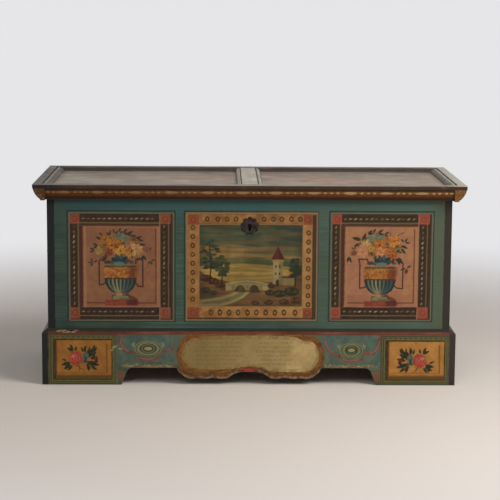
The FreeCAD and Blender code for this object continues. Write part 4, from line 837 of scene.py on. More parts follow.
# %% The rim and the back of a sheet
def rim_of(rows, columns, hole=None):
    """The points round a grid of points, anticlockwise from the front. A hole gives its own, clockwise."""
    low, high, left, right = hole or (0, rows - 1, 0, columns - 1)
    loop = [(low, c) for c in range(left, right)] + [(r, right) for r in range(low, high)]
    loop += [(high, c) for c in range(right, left, -1)] + [(r, left) for r in range(high, low, -1)]
    return loop[::-1] if hole else loop


def run_of(loop, first, last):
    """The points of a closed loop from first to last, going forward."""
    return loop[first:last + 1] if first < last else loop[first:] + loop[:last + 1]


def back_faces(backs, loops):
    """One face, or two halves that meet over and under the hole."""
    if len(loops) == 1:
        return [backs[0][::-1]]
    middle = loops[1][0][1] + (loops[1][len(loops[1]) // 2][1] - loops[1][0][1]) // 2
    ends = []
    for loop in loops:
        at = [n for n, (_, column) in enumerate(loop) if column == middle]
        ends.append(sorted(at, key=lambda n: loop[n][0]))
    (low, high), (hole_low, hole_high) = ends
    halves = []
    for outer, inner in (((low, high), (hole_high, hole_low)), ((high, low), (hole_low, hole_high))):
        halves.append(run_of(backs[0], *outer) + run_of(backs[1], *inner))
    return [half[::-1] for half in halves]


print("rims and backs ready")


# %% Turning a painted field into a sheet
def paint_sheet(name, places, faces, tones, body="case"):
    """A mesh with its brushwork colours, on its body."""
    mesh = bpy.data.meshes.new(name)
    mesh.from_pydata(places.tolist(), [], faces)
    brushwork = mesh.color_attributes.new("brushwork", "FLOAT_COLOR", "POINT")
    brushwork.data.foreach_set("color", np.hstack((tones, np.ones((len(tones), 1)))).ravel())
    mesh.materials.append(field_finish)
    mesh.update()
    piece = bpy.data.objects.new(name, mesh)
    bpy.context.collection.objects.link(piece)
    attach(piece, body)
    print(name, "faces", len(mesh.polygons))


def sheet_of(field, name, face, hole=None):
    """The field as a closed sheet of paint on the face at y mm. hole is left, right, low, high in mm."""
    rows, columns = field["x"].shape
    number = np.arange(rows * columns).reshape(rows, columns)
    front = np.stack((field["x"], face - field["thick"], field["z"]), -1).reshape(-1, 3)
    corners = np.stack((number[:-1, :-1], number[:-1, 1:], number[1:, 1:], number[1:, :-1]), -1)
    keep = np.ones(corners.shape[:2], bool)
    loops = [rim_of(rows, columns)]
    if hole:
        cut = [int(np.argmin(abs(field["x"][0] - v))) for v in hole[:2]]
        cut = [int(np.argmin(abs(field["z"][:, 0] - v))) for v in hole[2:]] + cut
        keep[cut[0]:cut[1], cut[2]:cut[3]] = False
        loops.append(rim_of(rows, columns, cut))
    faces = corners[keep].tolist()
    used, places, back = [number[r, c] for loop in loops for r, c in loop], front.tolist(), {}
    for point in used:
        back[point] = len(places)
        places.append([places[point][0], face + SUNK, places[point][2]])
    for loop in loops:
        ring_points = [number[r, c] for r, c in loop]
        for a, b in zip(ring_points, ring_points[1:] + ring_points[:1]):
            faces.append([a, back[a], back[b], b])
    faces += back_faces([[back[number[r, c]] for r, c in loop] for loop in loops], loops)
    tones = np.vstack((field["colour"].reshape(-1, 3), field["colour"].reshape(-1, 3)[used]))
    paint_sheet(name, np.array(places) * MM, faces, tones)


print("sheets ready")

# %% [markdown]
# ## The fields with an urn
# Both side fields have the same frame: a dark line, a grey line, four terracotta corner blocks with a
# ring in each, and dark bands between them with a row of slanted dull ticks. All of it is measured
# from the grey line, so one function serves both.

# %% The frame of an urn field
FIELD_LINE = "202B28"


def ticks(field, x, z, run, count, pitch, seed):
    """A row of slanted ticks along X or Z, as on a twisted cord, worn and uneven."""
    hand = np.random.default_rng(seed)
    for n in range(count):
        step = n * pitch + hand.uniform(-1.5, 1.5)
        at = (x + step, z) if run == "X" else (x, z - step)
        lean = (14 if run == "X" else 72) + hand.uniform(-10, 10)
        half = hand.uniform(4.6, 7.0)
        start = away_from(*at, -half, lean)
        tone = mixed("5A4C38", "A89A78", hand.uniform(0.0, 1.0))
        paint(field, "4A3A2A", leaf(field, start[0] + 2, start[1] - 2, 2.6 * half, 5.0, lean), 0.7)
        paint(field, tone, leaf(field, *start, 2 * half, 4.6, lean), hand.uniform(0.5, 1.0))


def corner_block(field, left, right, low, high, seed, colour):
    """A terracotta block with a small ring."""
    paint(field, colour, box(field, left, right, low, high))
    inner = box(field, left + 2, right - 2, low + 2, high - 2)
    scumble(field, mixed(colour, "A4553A", 0.6), inner, 9, 0.6, seed)
    middle = (left + right) / 2, (low + high) / 2
    lay(field, ("56261E", 0.75, ring, *middle, 8, 8, 2.8), ("A86A4A", 0.6, ring, *middle, 4.6, 4.6, 2.2),
        ("4E241C", 0.7, oval, *middle, 2.4, 2.4))


def urn_frame(field, left, right, low, high, seed, terracotta):
    """Bands, lines and corner blocks. The four measures are the middles of the grey lines."""
    band, tan, red = "34241A", "5A4830", "4E2822"
    lay(field,
        ("3A3226", 1, box, left, right, low, high),
        (tan, 0.9, box, left + 27, right - 45, low + 14, high - 32),
        (band, 1, box, left + 5, left + 27.5, low + 40, high - 34),
        (red, 1, box, left + 35, left + 46.5, low + 46, high - 38),
        ("A0705A", 0.85, box, left + 46.5, left + 50.5, low + 46, high - 46),
        (band, 1, box, right - 44.5, right - 21, low + 40, high - 34),
        (band, 0.9, box, right - 14, right - 7, low + 30, high - 30),
        (band, 1, box, left + 36, right - 46, high - 30, high - 7),
        (band, 0.9, box, left + 36, right - 46, high - 41.5, high - 37.5),
        ("683628", 1, box, left + 36, right - 48, high - 46.5, high - 42),
        (band, 1, box, left + 36, right - 46, low + 19, low + 45),
        (band, 0.95, box, left + 36, right - 46, low + 6, low + 13))
    scumble(field, "4A3630", box(field, left + 5, right - 7, low + 6, high - 7), 7, 0.4, seed + 6)
    scumble(field, "2A1E14", box(field, left + 5, right - 7, low + 6, low + 45), 9, 0.5, seed + 8)
    lines(field, FIELD_LINE, 3.4, 0.8, rectangle(left - 6.5, right + 5, low - 3.5, high + 6.5))
    ticks(field, left + 47, high - 19.8, "X", 14, 18.3, seed)
    ticks(field, left + 48, low + 31, "X", 14, 18.3, seed + 1)
    ticks(field, left + 16, high - 48, "Z", 16, 17.8, seed + 2)
    ticks(field, right - 32.5, high - 48, "Z", 16, 17.8, seed + 3)
    blocks = ((left + 2, left + 36, high - 38, high - 3), (right - 46, right - 10, high - 38, high - 3),
              (left + 1, left + 35, low + 6, low + 46), (right - 46, right - 10, low + 6, low + 46))
    for number, block in enumerate(blocks):
        corner_block(field, *block, seed + 10 + number, terracotta)
    lines(field, "7E6E56", 2.2, 0.8, *([(x, low + 20), (x, high - 34)] for x in (right - 17, left + 31)),
          [(left + 36, high - 35), (right - 47, high - 35)],
          [(left + 36, low + 16), (right - 47, low + 16)])
    lines(field, "98785E", 3.2, 0.85, [(right - 47.5, low + 4), (right - 47, high - 4)])
    lines(field, "716D5E", 4.4, 0.9, rectangle(left, right, low, high))


print("urn frame ready")


# %% The ground of an urn field
def pink_ground(field, left, right, low, high, seed, pinks):
    """The pink ground inside the frame, mottled, with a thin dark line at the right and below."""
    inner = box(field, left + 50, right - 48, low + 47, high - 47)
    paint(field, pinks[0], inner)
    scumble(field, pinks[1], inner, 40, 0.8, seed)
    scumble(field, pinks[2], inner, 14, 0.45, seed + 2)
    scumble(field, pinks[2], np.minimum(inner, low + 90 - field["hand_z"]), 50, 0.5, seed + 4)
    paint(field, "A8785C", np.minimum(inner, left + 58 - field["hand_x"]), 0.65)
    paint(field, "A8785C", np.minimum(inner, field["hand_x"] - right + 58), 0.45)
    lines(field, "A0705A", 3.0, 0.7, [(left + 50, high - 49), (right - 50, high - 49)],
          [(left + 46, low + 47.5), (right - 48, low + 47.5)])
    lines(field, "5A2A24", 4.0, 0.85,
          [(left + 60, low + 61), (right - 61, low + 61), (right - 61, high - 56)])


print("pink ground ready")


# %% [markdown]
# ## The urn and its flowers
# The urn is turned ware: a dark rim, a golden band, a fluted blue-green bowl, a pale foot and a red
# block, with its shadow to the right. Two thin square handles rise at its sides. The bouquet is built
# outward from the middle: a soft mass of orange and gold, then small dark leaves round it.

# %% The urn
def urn(field, x, base, handles, seed):
    """An urn whose block stands at height base. handles are two lists of points from the middle."""
    field = measured_from(field, x, base)
    lay(field,
        *(("38221C", 0.95, line, points, 4.6) for points in handles),
        ("5E2A24", 0.8, line, curved([(14, 34), (32, 30), (50, 22), (56, 8)]), 14),
        ("7E3A2E", 1, box, -53, 22, 0, 20),
        ("4E2428", 0.9, box, 22, 56, 0, 21),
        ("3A342A", 0.9, vessel, [19, 36, 38], [30, 30, 20]),
        ("7C7658", 1, vessel, [21, 24, 32, 35], [28, 28, 27, 22]),
        ("565A44", 0.7, box, -6, 27, 21, 28),
        ("A4765E", 1, vessel, [34, 38, 46], [17, 15, 19]),
        ("54382E", 0.7, box, 5, 30, 33, 45))
    scumble(field, "94483A", box(field, -50, 16, 2, 18), 9, 0.7, seed)
    bowl, halves = [44, 47, 56, 70, 86, 95], np.array([18, 26, 39, 47, 52, 53])
    lay(field, ("1C2426", 1, vessel, bowl, halves + 2), ("26363C", 1, vessel, bowl, halves - 1))
    hand = np.random.default_rng(seed)
    inside = np.clip(vessel(field, bowl, halves - 2) / 2 + 0.5, 0, 1)
    for n in range(-3, 4):
        light = math.exp(-((n + 1.2) / 1.7) ** 2) + 0.15 * hand.uniform(0, 1)
        course = curved([(n * 13.6, 96), (n * 12.2, 70), (n * 5.4, 47)])
        paint(field, mixed("344A4E", "8C8866", light), line(field, course, 6.0), inside * 0.85, soft=3.4)
        paint(field, mixed("3C5256", "A0966E", light), line(field, course, 1.6), inside * 0.6, soft=2)
    gold = [94, 98, 118, 134]
    inner = vessel(field, gold, [50, 53, 57, 58])
    lay(field, ("8A5028", 1, vessel, gold, [51, 54, 58, 59]))
    for tone, size, strength in (("B07236", 9, 1.0), ("C48E4A", 5, 0.7), ("7A3E24", 4, 0.6)):
        scumble(field, tone, inner, size, strength, seed + size)
    paint(field, "5E2C28", np.minimum(inner, field["hand_x"] - 28), 0.85, soft=16)
    lay(field, ("32281C", 0.9, line, [(-51, 95), (53, 95)], 4.4),
        ("3E3A20", 1, vessel, [134, 140], [58, 50]),
        ("7E6E3C", 0.7, line, [(-40, 137), (28, 137)], 1.8))


print("urn ready")


# %% Leaves over the mouth of the urn, and small flowers
def heap(field, x, z, dark, pale):
    """Dark blue-green leaves heaped over the mouth of the urn, round a pale one."""
    field = measured_from(field, x, z)
    lay(field, (dark, 0.95, oval, 0, 2, 30, 15), ("4A3A36", 0.8, oval, 38, -2, 9, 6, -20))
    leaves = (-12, 2, 150), (-7.2, 6, 110), (2.4, 7, 80), (9.6, 4, 40), (14.4, 0, 10), (-15.6, -4, 190)
    for n, (*start, turn) in enumerate(leaves):
        lay(field, (mixed(dark, "4A6468", n % 3 * 0.3), 1, leaf, *start, 22, 12, turn))
    lay(field, (pale, 0.9, oval, -3, -8, 19, 8),
        ("2E3A38", 0.6, line, [(-20, -2), (-3, 1), (14, -3)], 2),
        ("3A2E36", 0.9, oval, -43, -3, 12, 6, 8))


def florets(field, x, z, seed):
    """The soft mass of small ochre flowers behind the large ones."""
    hand = np.random.default_rng(seed)
    scumble(field, "8A5830", oval(field, x, z, 74, 40), 10, 0.9, seed)
    for _ in range(20):
        way, far = hand.uniform(0, 2 * math.pi), hand.uniform(0, 1) ** 0.5
        tone = mixed("96542C", "C49E62", hand.uniform(0, 1))
        at = x + 72 * far * math.cos(way), z + 38 * far * math.sin(way)
        bloom(field, *at, hand.uniform(7, 12), "5E3620", tone, "4E2A1C", seed + 1, 6)


print("heap and florets ready")

# %% Places of everything in the two urn fields, in mm
DARK_LEAF, DARK_VEIN = "28292A", "5A5E4C"
URN_PLACES = {
    "left": {
        "seed": 100, "field": (-629, -255, 218, 607), "frame": (-620, -262, 223.5, 598.5),
        # The left field's ground, terracotta and pinks are darker than the right field's: painted shade at
        # the left end.
        "ground": "33453F", "terracotta": "7E4636", "pinks": ("8C5F49", "93694C", "7C5444"),
        "urn": (-444.6, 275.5), "heap": (-446, 430),
        "handles": ([(-50, 82), (-60, 74), (-73, 72), (-73, 156), (-66, 163), (-55, 160)],
                    [(50, 84), (60, 68), (77, 66), (77, 162), (53, 162), (53, 146)]),
        "blooms": (
            (-496, 506, 21, "7E5024", "B07C3A", "6A3A20"), (-518, 467, 16, "86643C", "AE8E60", "8A5A32"),
            (-352, 471, 11, "6A443A", "946050", "5A2E28"), (-474, 486, 24, "8A4C24", "BE7C36", "62301A"),
            (-418, 491, 19, "8A5442", "B47C58", "7E4428"), (-446, 488, 20, "7E4A22", "B47A34", "5E3018"),
            (-391, 472, 25, "9A6C48", "C69C68", "9A683A"), (-445, 466, 22, "946026", "C8984A", "7A4420"),
            (-483, 461, 15, "64301F", "96503A", "4A2420"), (-414, 456, 14, "96602E", "C48E4A", "6A3A20"),
            (-446, 518, 16, "48544A", "7E846A", "4C584C"), (-425, 508, 13, "4C5648", "7A8068", "42503F")),
        "leaves": (
            (-500, 514, 19, 143), (-507, 505, 22, 152), (-482, 518, 17, 78, 122), (-521, 487, 18, 172, 215),
            (-533, 469, 16, 150, 205), (-538, 426, 15, 120, 175, 235, 20), (-466, 526, 15, 35, 100),
            (-450, 530, 16, 12, 70), (-436, 527, 20, 2, 44), (-424, 524, 21, -14, 30),
            (-413, 515, 22, -30, 12), (-403, 506, 22, -38, 22), (-391, 505, 22, 35, -6),
            (-386, 490, 24, -4, -36), (-346, 464, 14, 60, 120), (-369, 454, 22, -56, -92),
            (-341, 433, 14, 235, 290, 15), (-492, 436, 17, 190, 150, 110), (-410, 452, 14, -60),
            (-384, 446, 15, -40, -100)),
        "late_leaves": (
            (-410, 470, 11, -70, -20), (-462, 476, 11, 30, 90), (-500, 482, 11, 100, 40),
            (-432, 500, 12, -80, -130)),
    },
    "right": {
        "seed": 200, "field": (272, 636, 220.5, 608.5), "frame": (281, 629, 226, 600),
        # The right field's lighter colours are painted light from the lamp side.
        "ground": "3C4F47", "terracotta": "93483A", "pinks": ("A4725A", "A87A56", "926250"),
        "urn": (451, 274), "heap": (460, 430),
        "handles": ([(-46, 72), (-56, 66), (-70, 65), (-70, 150), (-74, 166), (-46, 166), (-42, 158)],
                    [(48, 74), (58, 66), (79, 63), (79, 152), (70, 158)]),
        "blooms": (
            (434, 514, 19, "565E4E", "8C9078", "5E6654"), (416, 511, 13, "525A4E", "7E846E", "465044"),
            (452, 512, 13, "565E4E", "868A72", "505846"), (498, 503, 23, "9A5626", "CE8A42", "8A4420"),
            (399, 489, 22, "A07C52", "C0A06E", "96703E"), (388, 466, 24, "A06A4E", "C88E6A", "9E6448"),
            (448, 490, 25, "8E5022", "C27E38", "5E2C18"), (418, 478, 14, "9A6A38", "C09450", "7A4A28"),
            (452, 463, 23, "9E5A36", "D29A68", "A8603A"), (480, 466, 15, "96522A", "BE7A40", "6A3420"),
            (494, 453, 17, "8A3E22", "BE6C38", "64281A"), (360, 462, 12, "64402F", "8E5C48", "4A2A24")),
        "leaves": (
            (388, 506, 32, 168), (386, 501, 28, 38, 70), (385, 497, 25, 208), (404, 527, 22, 5, 40),
            (424, 530, 18, 0, 60), (440, 531, 21, -6, 30), (462, 527, 17, -24, 24),
            (533, 498, 17, 128, 52, 5), (519, 490, 24, -22), (521, 482, 24, 228, -60),
            (343, 452, 21, -72, -110), (541, 411, 18, 22, 200, -78), (536, 404, 15, -70),
            (512, 450, 28, -55, -84), (498, 446, 22, -100, -40), (487, 477, 16, 200, 160),
            (508, 470, 18, -20, 24), (482, 446, 22, -20, 12), (420, 470, 15, 190, 150),
            (362, 474, 12, 80, 140)),
        "late_leaves": (
            (424, 466, 14, 200, 250), (470, 490, 11, 60, 10), (440, 446, 13, 180, 140),
            (508, 492, 11, 250, 300)),
    },
}
print("large flowers", {side: len(plan["blooms"]) for side, plan in URN_PLACES.items()})

# %% Paint both urn fields
for side, plan in URN_PLACES.items():
    seed = plan["seed"]
    field = primed(*plan["field"], plan["ground"], seed)
    urn_frame(field, *plan["frame"], seed + 10, plan["terracotta"])
    pink_ground(field, *plan["frame"], seed + 30, plan["pinks"])
    urn(field, *plan["urn"], plan["handles"], seed + 40)
    if side == "right":
        lines(field, DARK_LEAF, 2.6, 0.9, curved([(490, 505), (486, 520), (484, 532)]),
              curved([(500, 508), (512, 524), (532, 533)]))
    sprigs(field, DARK_LEAF, DARK_VEIN, seed + 50, *plan["leaves"])
    florets(field, plan["urn"][0], 484, seed + 90)
    for number, (*measures, dark, light, heart) in enumerate(plan["blooms"]):
        bloom(field, *measures, dark, light, heart, seed + 60 + number)
    sprigs(field, "33301E", "6A6234", seed + 80, *plan["late_leaves"])
    heap(field, *plan["heap"], "26343A", "647468")
    sheet_of(field, "painted_urn_" + side, CASE_FRONT)

# %% [markdown]
# ## The middle field
# The middle field holds a landscape in an ochre frame with terracotta corner blocks and small ring
# rosettes. It shows a lake below low hills, a round tower on the right bank, a stone bridge of two
# arches, and trees on both banks, in the browns and greens of an old painted room.

# %% The frame of the middle field
def ring_rosette(field, x, z, seed, pointed=False):
    """A dark ring with an orange heart, or a pointed one on the lower rail."""
    dark = mixed("38200F", "423E22", np.random.default_rng(seed).uniform(0, 1))
    lay(field, (dark, 1, ring, x, z, 6, 7.8 if pointed else 6.8, 4.2),
        ("96592E", 0.7, oval, x, z, 2.2, 2.8))
    if pointed:
        lay(field, *((dark, 0.9, leaf, x, z + side * 4, 8, 5, 90 * side) for side in (-1, 1)))


def landscape_frame(field):
    """Lines, ochre rails, corner blocks and rosettes, in their measured places."""
    rails = box(field, -216, 230, 226, 598)
    paint(field, "94683F", box(field, -219, 234, 223, 601))
    scumble(field, "AE8050", rails, 26, 0.8, 310)
    scumble(field, "7E5230", rails, 14, 0.45, 312)
    # Painted light: the rails are lighter towards the right.
    paint(field, "B4895C", np.minimum(rails, field["hand_x"] - 100), 0.45, soft=160)
    scumble(field, "5E4028", np.minimum(rails, field["hand_z"] - 562), 20, 0.5, 314)
    lay(field, ("32281E", 0.9, box, 216, 230, 228, 594), ("32281E", 0.9, box, -216, 222, 228, 234))
    lines(field, FIELD_LINE, 3.0, 0.8, rectangle(-224.5, 236, 221, 605))
    lines(field, "7A4A30", 2.6, 0.8, [(-214, 596), (224, 596)], [(-177, 562), (186, 562)])
    blocks = (-212, -175, 559, 594), (185, 215, 560, 594), (-214, -173, 233, 269), (185, 215, 233, 268)
    for number, block in enumerate(blocks):
        corner_block(field, *block, 320 + number, "80452F")
    rings = [(-196, 549 - 31.3 * n) for n in range(9)] + [(203, 531 - 31.3 * n) for n in range(9)]
    rings += [(x, 578.6) for x in (-146, -110, -78, -47, 49, 81, 110, 143, 174)]
    for number, (x, z) in enumerate(rings):
        ring_rosette(field, x, z, 330 + number)
    for number, x in enumerate((-133, -102, -70, -39, -6, 25, 57, 89, 120, 159)):
        ring_rosette(field, x, 252, 370 + number, pointed=True)
    lines(field, "8E7658", 4.2, 0.9, [(-218, 224), (-218, 599), (233, 599)])
    lines(field, "6E6C5E", 4.2, 0.9, [(233, 599), (233, 224), (-218, 224)])


print("landscape frame ready")


# %% The landscape: sky, hills and lake
def level_streaks(field, colour, inside, count, seed, long, width, strength=0.5):
    """Loose level strokes of one colour inside a shape."""
    hand = np.random.default_rng(seed)
    share = np.clip(inside / 6 + 0.5, 0, 1)
    places = np.argwhere(inside > 0)
    for _ in range(count):
        x, z = (field[key][tuple(places[hand.integers(len(places))])] for key in ("x", "z"))
        halves = long * hand.uniform(0.3, 0.7), width * hand.uniform(0.5, 1.0)
        stroke = oval(field, x, z, *halves, hand.uniform(-4, 4))
        paint(field, colour, stroke, strength * share, soft=4, body=0.03)


def sky_and_hills(field, picture):
    """A green evening sky that warms towards the hills, and their line across the lake."""
    x, z = field["hand_x"], field["hand_z"]
    paint(field, "3E4B40", picture)
    paint(field, "6E6440", picture, np.clip((545 - z) / 130, 0, 1) * 0.9)
    high, low = np.minimum(picture, z - 480), np.minimum(picture, np.minimum(z - 432, 492 - z))
    for colour, inside, count, seed, long, width in (
            ("34463F", high, 26, 400, 110, 9), ("5C5E3C", high, 22, 401, 90, 6),
            ("6A573C", high, 14, 402, 80, 6), ("8A683E", low, 24, 403, 100, 7),
            ("9C8050", low, 14, 404, 80, 5)):
        level_streaks(field, colour, inside, count, seed, long, width)
    crest = 436 + 12 * np.sin(x / 46) + 7 * np.sin(x / 19 + 1) - 0.05 * x
    hills = np.minimum(picture, crest - z)
    paint(field, "4A5038", hills)
    paint(field, "5E6240", np.minimum(hills, z - crest + 9), 0.6, soft=5)
    lake = np.minimum(picture, 418 + 5 * np.sin(x / 60 + 2) - z)
    paint(field, "9C7E44", lake)
    level_streaks(field, "B89A5C", np.minimum(lake, z - 372), 24, 405, 100, 4)
    level_streaks(field, "6E663A", np.minimum(lake, z - 366), 16, 406, 90, 3)


print("sky and hills ready")


# %% The landscape: tower and bridge
def tower(field, x, foot):
    """A round cream tower with a red-brown cone, a low wall and a few windows."""
    lay(measured_from(field, x, foot),
        ("9C8A60", 1, box, -17, 17, 0, 84),
        ("7A6A48", 0.8, box, 4, 17, 0, 84),
        ("8E7C56", 1, box, -20, 20, 78, 86),
        ("5A2C24", 1, outline, [(-24, 86), (-8, 116), (0, 134), (8, 116), (24, 86)]),
        ("3E1E1C", 0.7, outline, [(4, 87), (2, 128), (22, 87)]),
        *(("33261C", 0.9, box, dx - 2.6, dx + 2.6, dz, dz + 9) for dx in (-7, 6) for dz in (32, 57)),
        ("33221A", 0.95, oval, -1, 4, 6, 13),
        ("8E7C56", 1, box, 17, 56, -4, 22),
        ("5A2C24", 0.9, box, 15, 58, 21, 28))


def bridge(field, x, z):
    """A stone bridge of two arches with a low wall, darker where it faces away from the light."""
    arches = []
    for middle in (24, -24):
        arches += [away_from(middle, 2, 17, turn) for turn in np.linspace(0, 180, 9)]
    deck = [(-74, 20), (-40, 27), (0, 31), (40, 27), (74, 20)]
    lay(measured_from(field, x, z),
        ("332A1E", 0.8, outline, [(-44, -6), *deck[1:4], (44, -6)]),
        ("9A8860", 1, outline, [(-74, -2), *deck, (74, -2), *arches]),
        *((tone, strength, line, [(px, pz + rise) for px, pz in deck], width)
          for tone, strength, rise, width in
          (("6E6040", 0.7, -3, 2.4), ("AA9A72", 0.9, 2, 4.5), ("5A4C32", 0.8, 5.4, 1.6))),
        *(("6E6040", 0.6, box, px - 4, px + 5, -4, 18) for px in (-48, 0, 48)))


print("tower and bridge ready")


# %% The landscape: trees, bushes and banks
def painted_tree(field, x, foot, high, wide, seed, dark, light):
    """A trunk and a crown of small level dabs, dark below and lighter above."""
    field, hand = measured_from(field, x, foot), np.random.default_rng(seed)
    lay(field, ("2A1C14", 0.9, line, [(0, 0), (3, high * 0.5), (-2, high * 0.85)], 5))
    for _ in range(60):
        share = hand.uniform(0, 1)
        reach = wide * math.sin(math.pi * min(0.95, 0.12 + 0.85 * share)) ** 0.7
        at = hand.uniform(-reach, reach), high * (0.34 + 0.66 * share)
        tone = mixed(dark, light, hand.uniform(0, 1) * share)
        lay(field,
            (tone, 0.85, oval, *at, hand.uniform(5, 11), hand.uniform(3, 5.5), hand.uniform(-25, 25)))


def bushes(field, dark, light, seed, *places):
    """Round bushes in dabs."""
    hand = np.random.default_rng(seed)
    for x, z, size in places:
        lay(field, (dark, 1, oval, x, z, size, size * 0.6))
        for _ in range(9):
            spot = x + hand.uniform(-0.8, 0.8) * size, z + hand.uniform(-0.25, 0.55) * size * 0.6
            lay(field,
                (mixed(dark, light, hand.uniform(0.2, 0.9)), 0.8, oval, *spot, size * 0.2, size * 0.12, 10))


def landscape(field):
    """The two banks, the stream between them, and everything that stands on them."""
    picture = box(field, -173, 182, 274, 559)
    x, z = field["hand_x"], field["hand_z"]
    sky_and_hills(field, picture)
    left_top = 396 - 0.42 * (x + 173) + 5 * np.sin(x / 17)
    right_top = 346 + 0.30 * (x - 20) + 5 * np.sin(x / 21)
    for colour, top, seed in (("5E442E", left_top, 411), ("6A4E34", right_top, 412)):
        bank = np.minimum(picture, top - z)
        paint(field, colour, bank)
        level_streaks(field, "8A6240", bank, 30, seed, 60, 4)
        level_streaks(field, "3E3822", bank, 20, seed + 5, 60, 5)
    stream = line(field, curved([(-8, 338), (-30, 318), (-62, 302), (-110, 288), (-180, 280)]), 32)
    paint(field, "94855A", np.minimum(stream, picture), soft=5)
    paint(field, "585232", np.minimum(stream, picture) - 9, 0.7, soft=6)
    tower(field, 98, 352)
    bridge(field, -8, 330)
    bushes(field, "3C261E", "74462E", 420, (-149, 372, 22), (-126, 362, 20), (-100, 348, 18), (76, 346, 14))
    bushes(field, "2E2A1C", "565430", 421, (-152, 330, 18), (-126, 322, 14), (70, 322, 17), (104, 318, 22),
           (146, 326, 26))
    bushes(field, "44301E", "7E5634", 422, (160, 296, 20), (120, 290, 18), (66, 288, 16), (20, 286, 14))
    painted_tree(field, -136, 356, 150, 34, 430, "1E2C28", "47543A")
    painted_tree(field, -96, 346, 104, 22, 431, "283226", "565834")
    painted_tree(field, 158, 344, 96, 20, 432, "222C28", "404C34")
    paint(field, "22241E", picture, np.clip(1 - picture / 30, 0, 1) * (picture > 0) * 0.4, body=0)
    scumble(field, "2E2818", picture, 46, 0.3, 440)


print("landscape ready")


# %% Paint the middle field
middle_field = primed(-227, 238, 219, 607.5, "38493F", 300)
landscape_frame(middle_field)
landscape(middle_field)
lines(middle_field, "8E7450", 2.4, 0.75, rectangle(-174, 183, 273, 560))
sheet_of(middle_field, "painted_landscape", CASE_FRONT, hole=(-10, 10, 534, 566))

# %% [markdown]
# ## The plinth: roses, ovals and the cartouche
# The front of the plinth has a rose on yellow at each end and an oval of green and cream rings between
# red ribbons. In the middle lies a broad cartouche: aged cream with faint sprays of small leaves, inside
# a border of orange-gold scrolls whose leaves run out over the lobed sawn edge.

# %% Rose panels
PLINTH_FRONT, PANEL_TOP = -285, 179.5  # mm


def rose_panel(field, left, right, low, high, seed, yellows):
    """A green frame with light lines round a yellow field, and a rose with dark leaves."""
    lay(field,
        ("46402A", 1, box, left, right, low, high),
        ("2C301F", 0.8, box, left + 15, right - 9, low + 10, high - 12),
        ("2E2014", 0.95, box, left + 22, right - 12, low + 15, high - 17),
        ("6A5A2C", 0.7, box, left + 25, right - 14, low + 16, low + 26))
    scumble(field, "584428", box(field, left, right, low, high), 10, 0.66, seed)
    inner = box(field, left + 27, right - 16, low + 27, high - 21)
    paint(field, yellows[0], inner)
    scumble(field, yellows[1], inner, 34, 0.8, seed + 1)
    scumble(field, yellows[2], inner, 16, 0.4, seed + 3)
    lines(field, "7A3A22", 4.4, 0.8,
          [(left + 28, high - 24), (left + 28, low + 29), (right - 18, low + 29)])
    lines(field, "6E3E1C", 5.0, 0.75, [(right - 31, low + 38), (right - 32, high - 34)])
    lines(field, "7E5226", 4.0, 0.6, [(left + 36, low + 38), (right - 40, low + 37)])
    for inset, tone, width in ((5, "6E7448", 2.2), (13, "777A50", 2.8)):
        corners = rectangle(left + inset, right - inset * 0.75, low + inset * 0.8, high - inset)
        lines(field, tone, width, 0.8, corners)
    hand = np.random.default_rng(seed + 5)
    dashes = [(left + 22 + n * 17.5, hand.uniform(-2, 2)) for n in range(12)]
    lines(field, "8E9268", 2.4, 0.45, *([(x + more, high - 9), (x + 5, high - 9)] for x, more in dashes))


print("rose panel ready")


# %% A spray with a rose
def rose_spray(field, x, z, flip, seed):
    """The rose with dark leaves and buds, measured from the rose. flip is 1 or, to the left, -1."""
    field = measured_from(field, x, z)

    def spots(*places):
        return [(dx * flip, dz, size, *(way if flip > 0 else 180 - way for way in ways))
                for dx, dz, size, *ways in places]

    sprigs(field, "23281F", "4A5A46", seed, *spots(
        (-5, 23, 25, 153), (-8, 25, 24, 118), (-1, 24, 18, 78), (26, 20, 19, 112), (31, 17, 22, 80),
        (37, 14, 23, 58), (43, 12, 28, 44), (56, 20, 25, 52), (48, 24, 18, 86), (38, -5, 25, -48),
        (44, -8, 28, -22), (47, -17, 30, -6), (40, -19, 22, -72), (50, -22, 26, -36), (-14, -13, 32, 191),
        (-14, -18, 30, 212), (-10, -22, 24, 236), (-30, -10, 18, 150), (-28, -24, 16, 262), (34, 2, 30, 30),
        (40, 6, 28, 62), (46, 0, 30, 14), (52, 8, 24, 40), (58, -2, 24, 75), (44, -12, 26, -14),
        (36, -14, 24, -50), (56, -14, 20, 10), (60, 24, 22, 80), (26, 27, 20, 62)))
    lay(field, ("55655C", 0.85, oval, 32 * flip, 4, 13, 20, -10 * flip))
    for n in range(4):
        way = 60 + 20 * n if flip > 0 else 120 - 20 * n
        lay(field, ("2E3A32", 0.8, leaf, (26 + 5 * n) * flip, -16, 28, 5, way))
    stems = (((8, -20), (16, -34), (28, -42)), ((4, -20), (14, -36), (12, -44)),
             ((26, 10), (50, 30), (70, 42)))
    for stem in stems:
        lines(field, "2A2E22", 2.2, 0.85, curved([(dx * flip, dz) for dx, dz in stem]))
    lay(field, ("7A2A26", 1, oval, 70 * flip, -2, 7, 8, 30 * flip),
        ("2A2E22", 0.9, leaf, 72 * flip, -12, 14, 8, 80))
    for dx, dz, size in ((-3, 9, 17), (9, 14, 13), (0, -9, 18), (-10, -2, 15), (12, -3, 15), (2, -16, 11)):
        bloom(field, dx * flip, dz, size, "8E302A", "BE5246", "96342C", seed + int(dz) + 40, 7)
    for reach, tone in ((15, "C87468"), (10, "8A2C28"), (6.5, "D08878")):
        paint(field, tone, ring(field, -2 * flip, 2, reach, reach * 0.8, 2.4), 0.5)
    lay(field, ("D08476", 0.55, oval, -8 * flip, 8, 7, 5, 30))


print("rose spray ready")


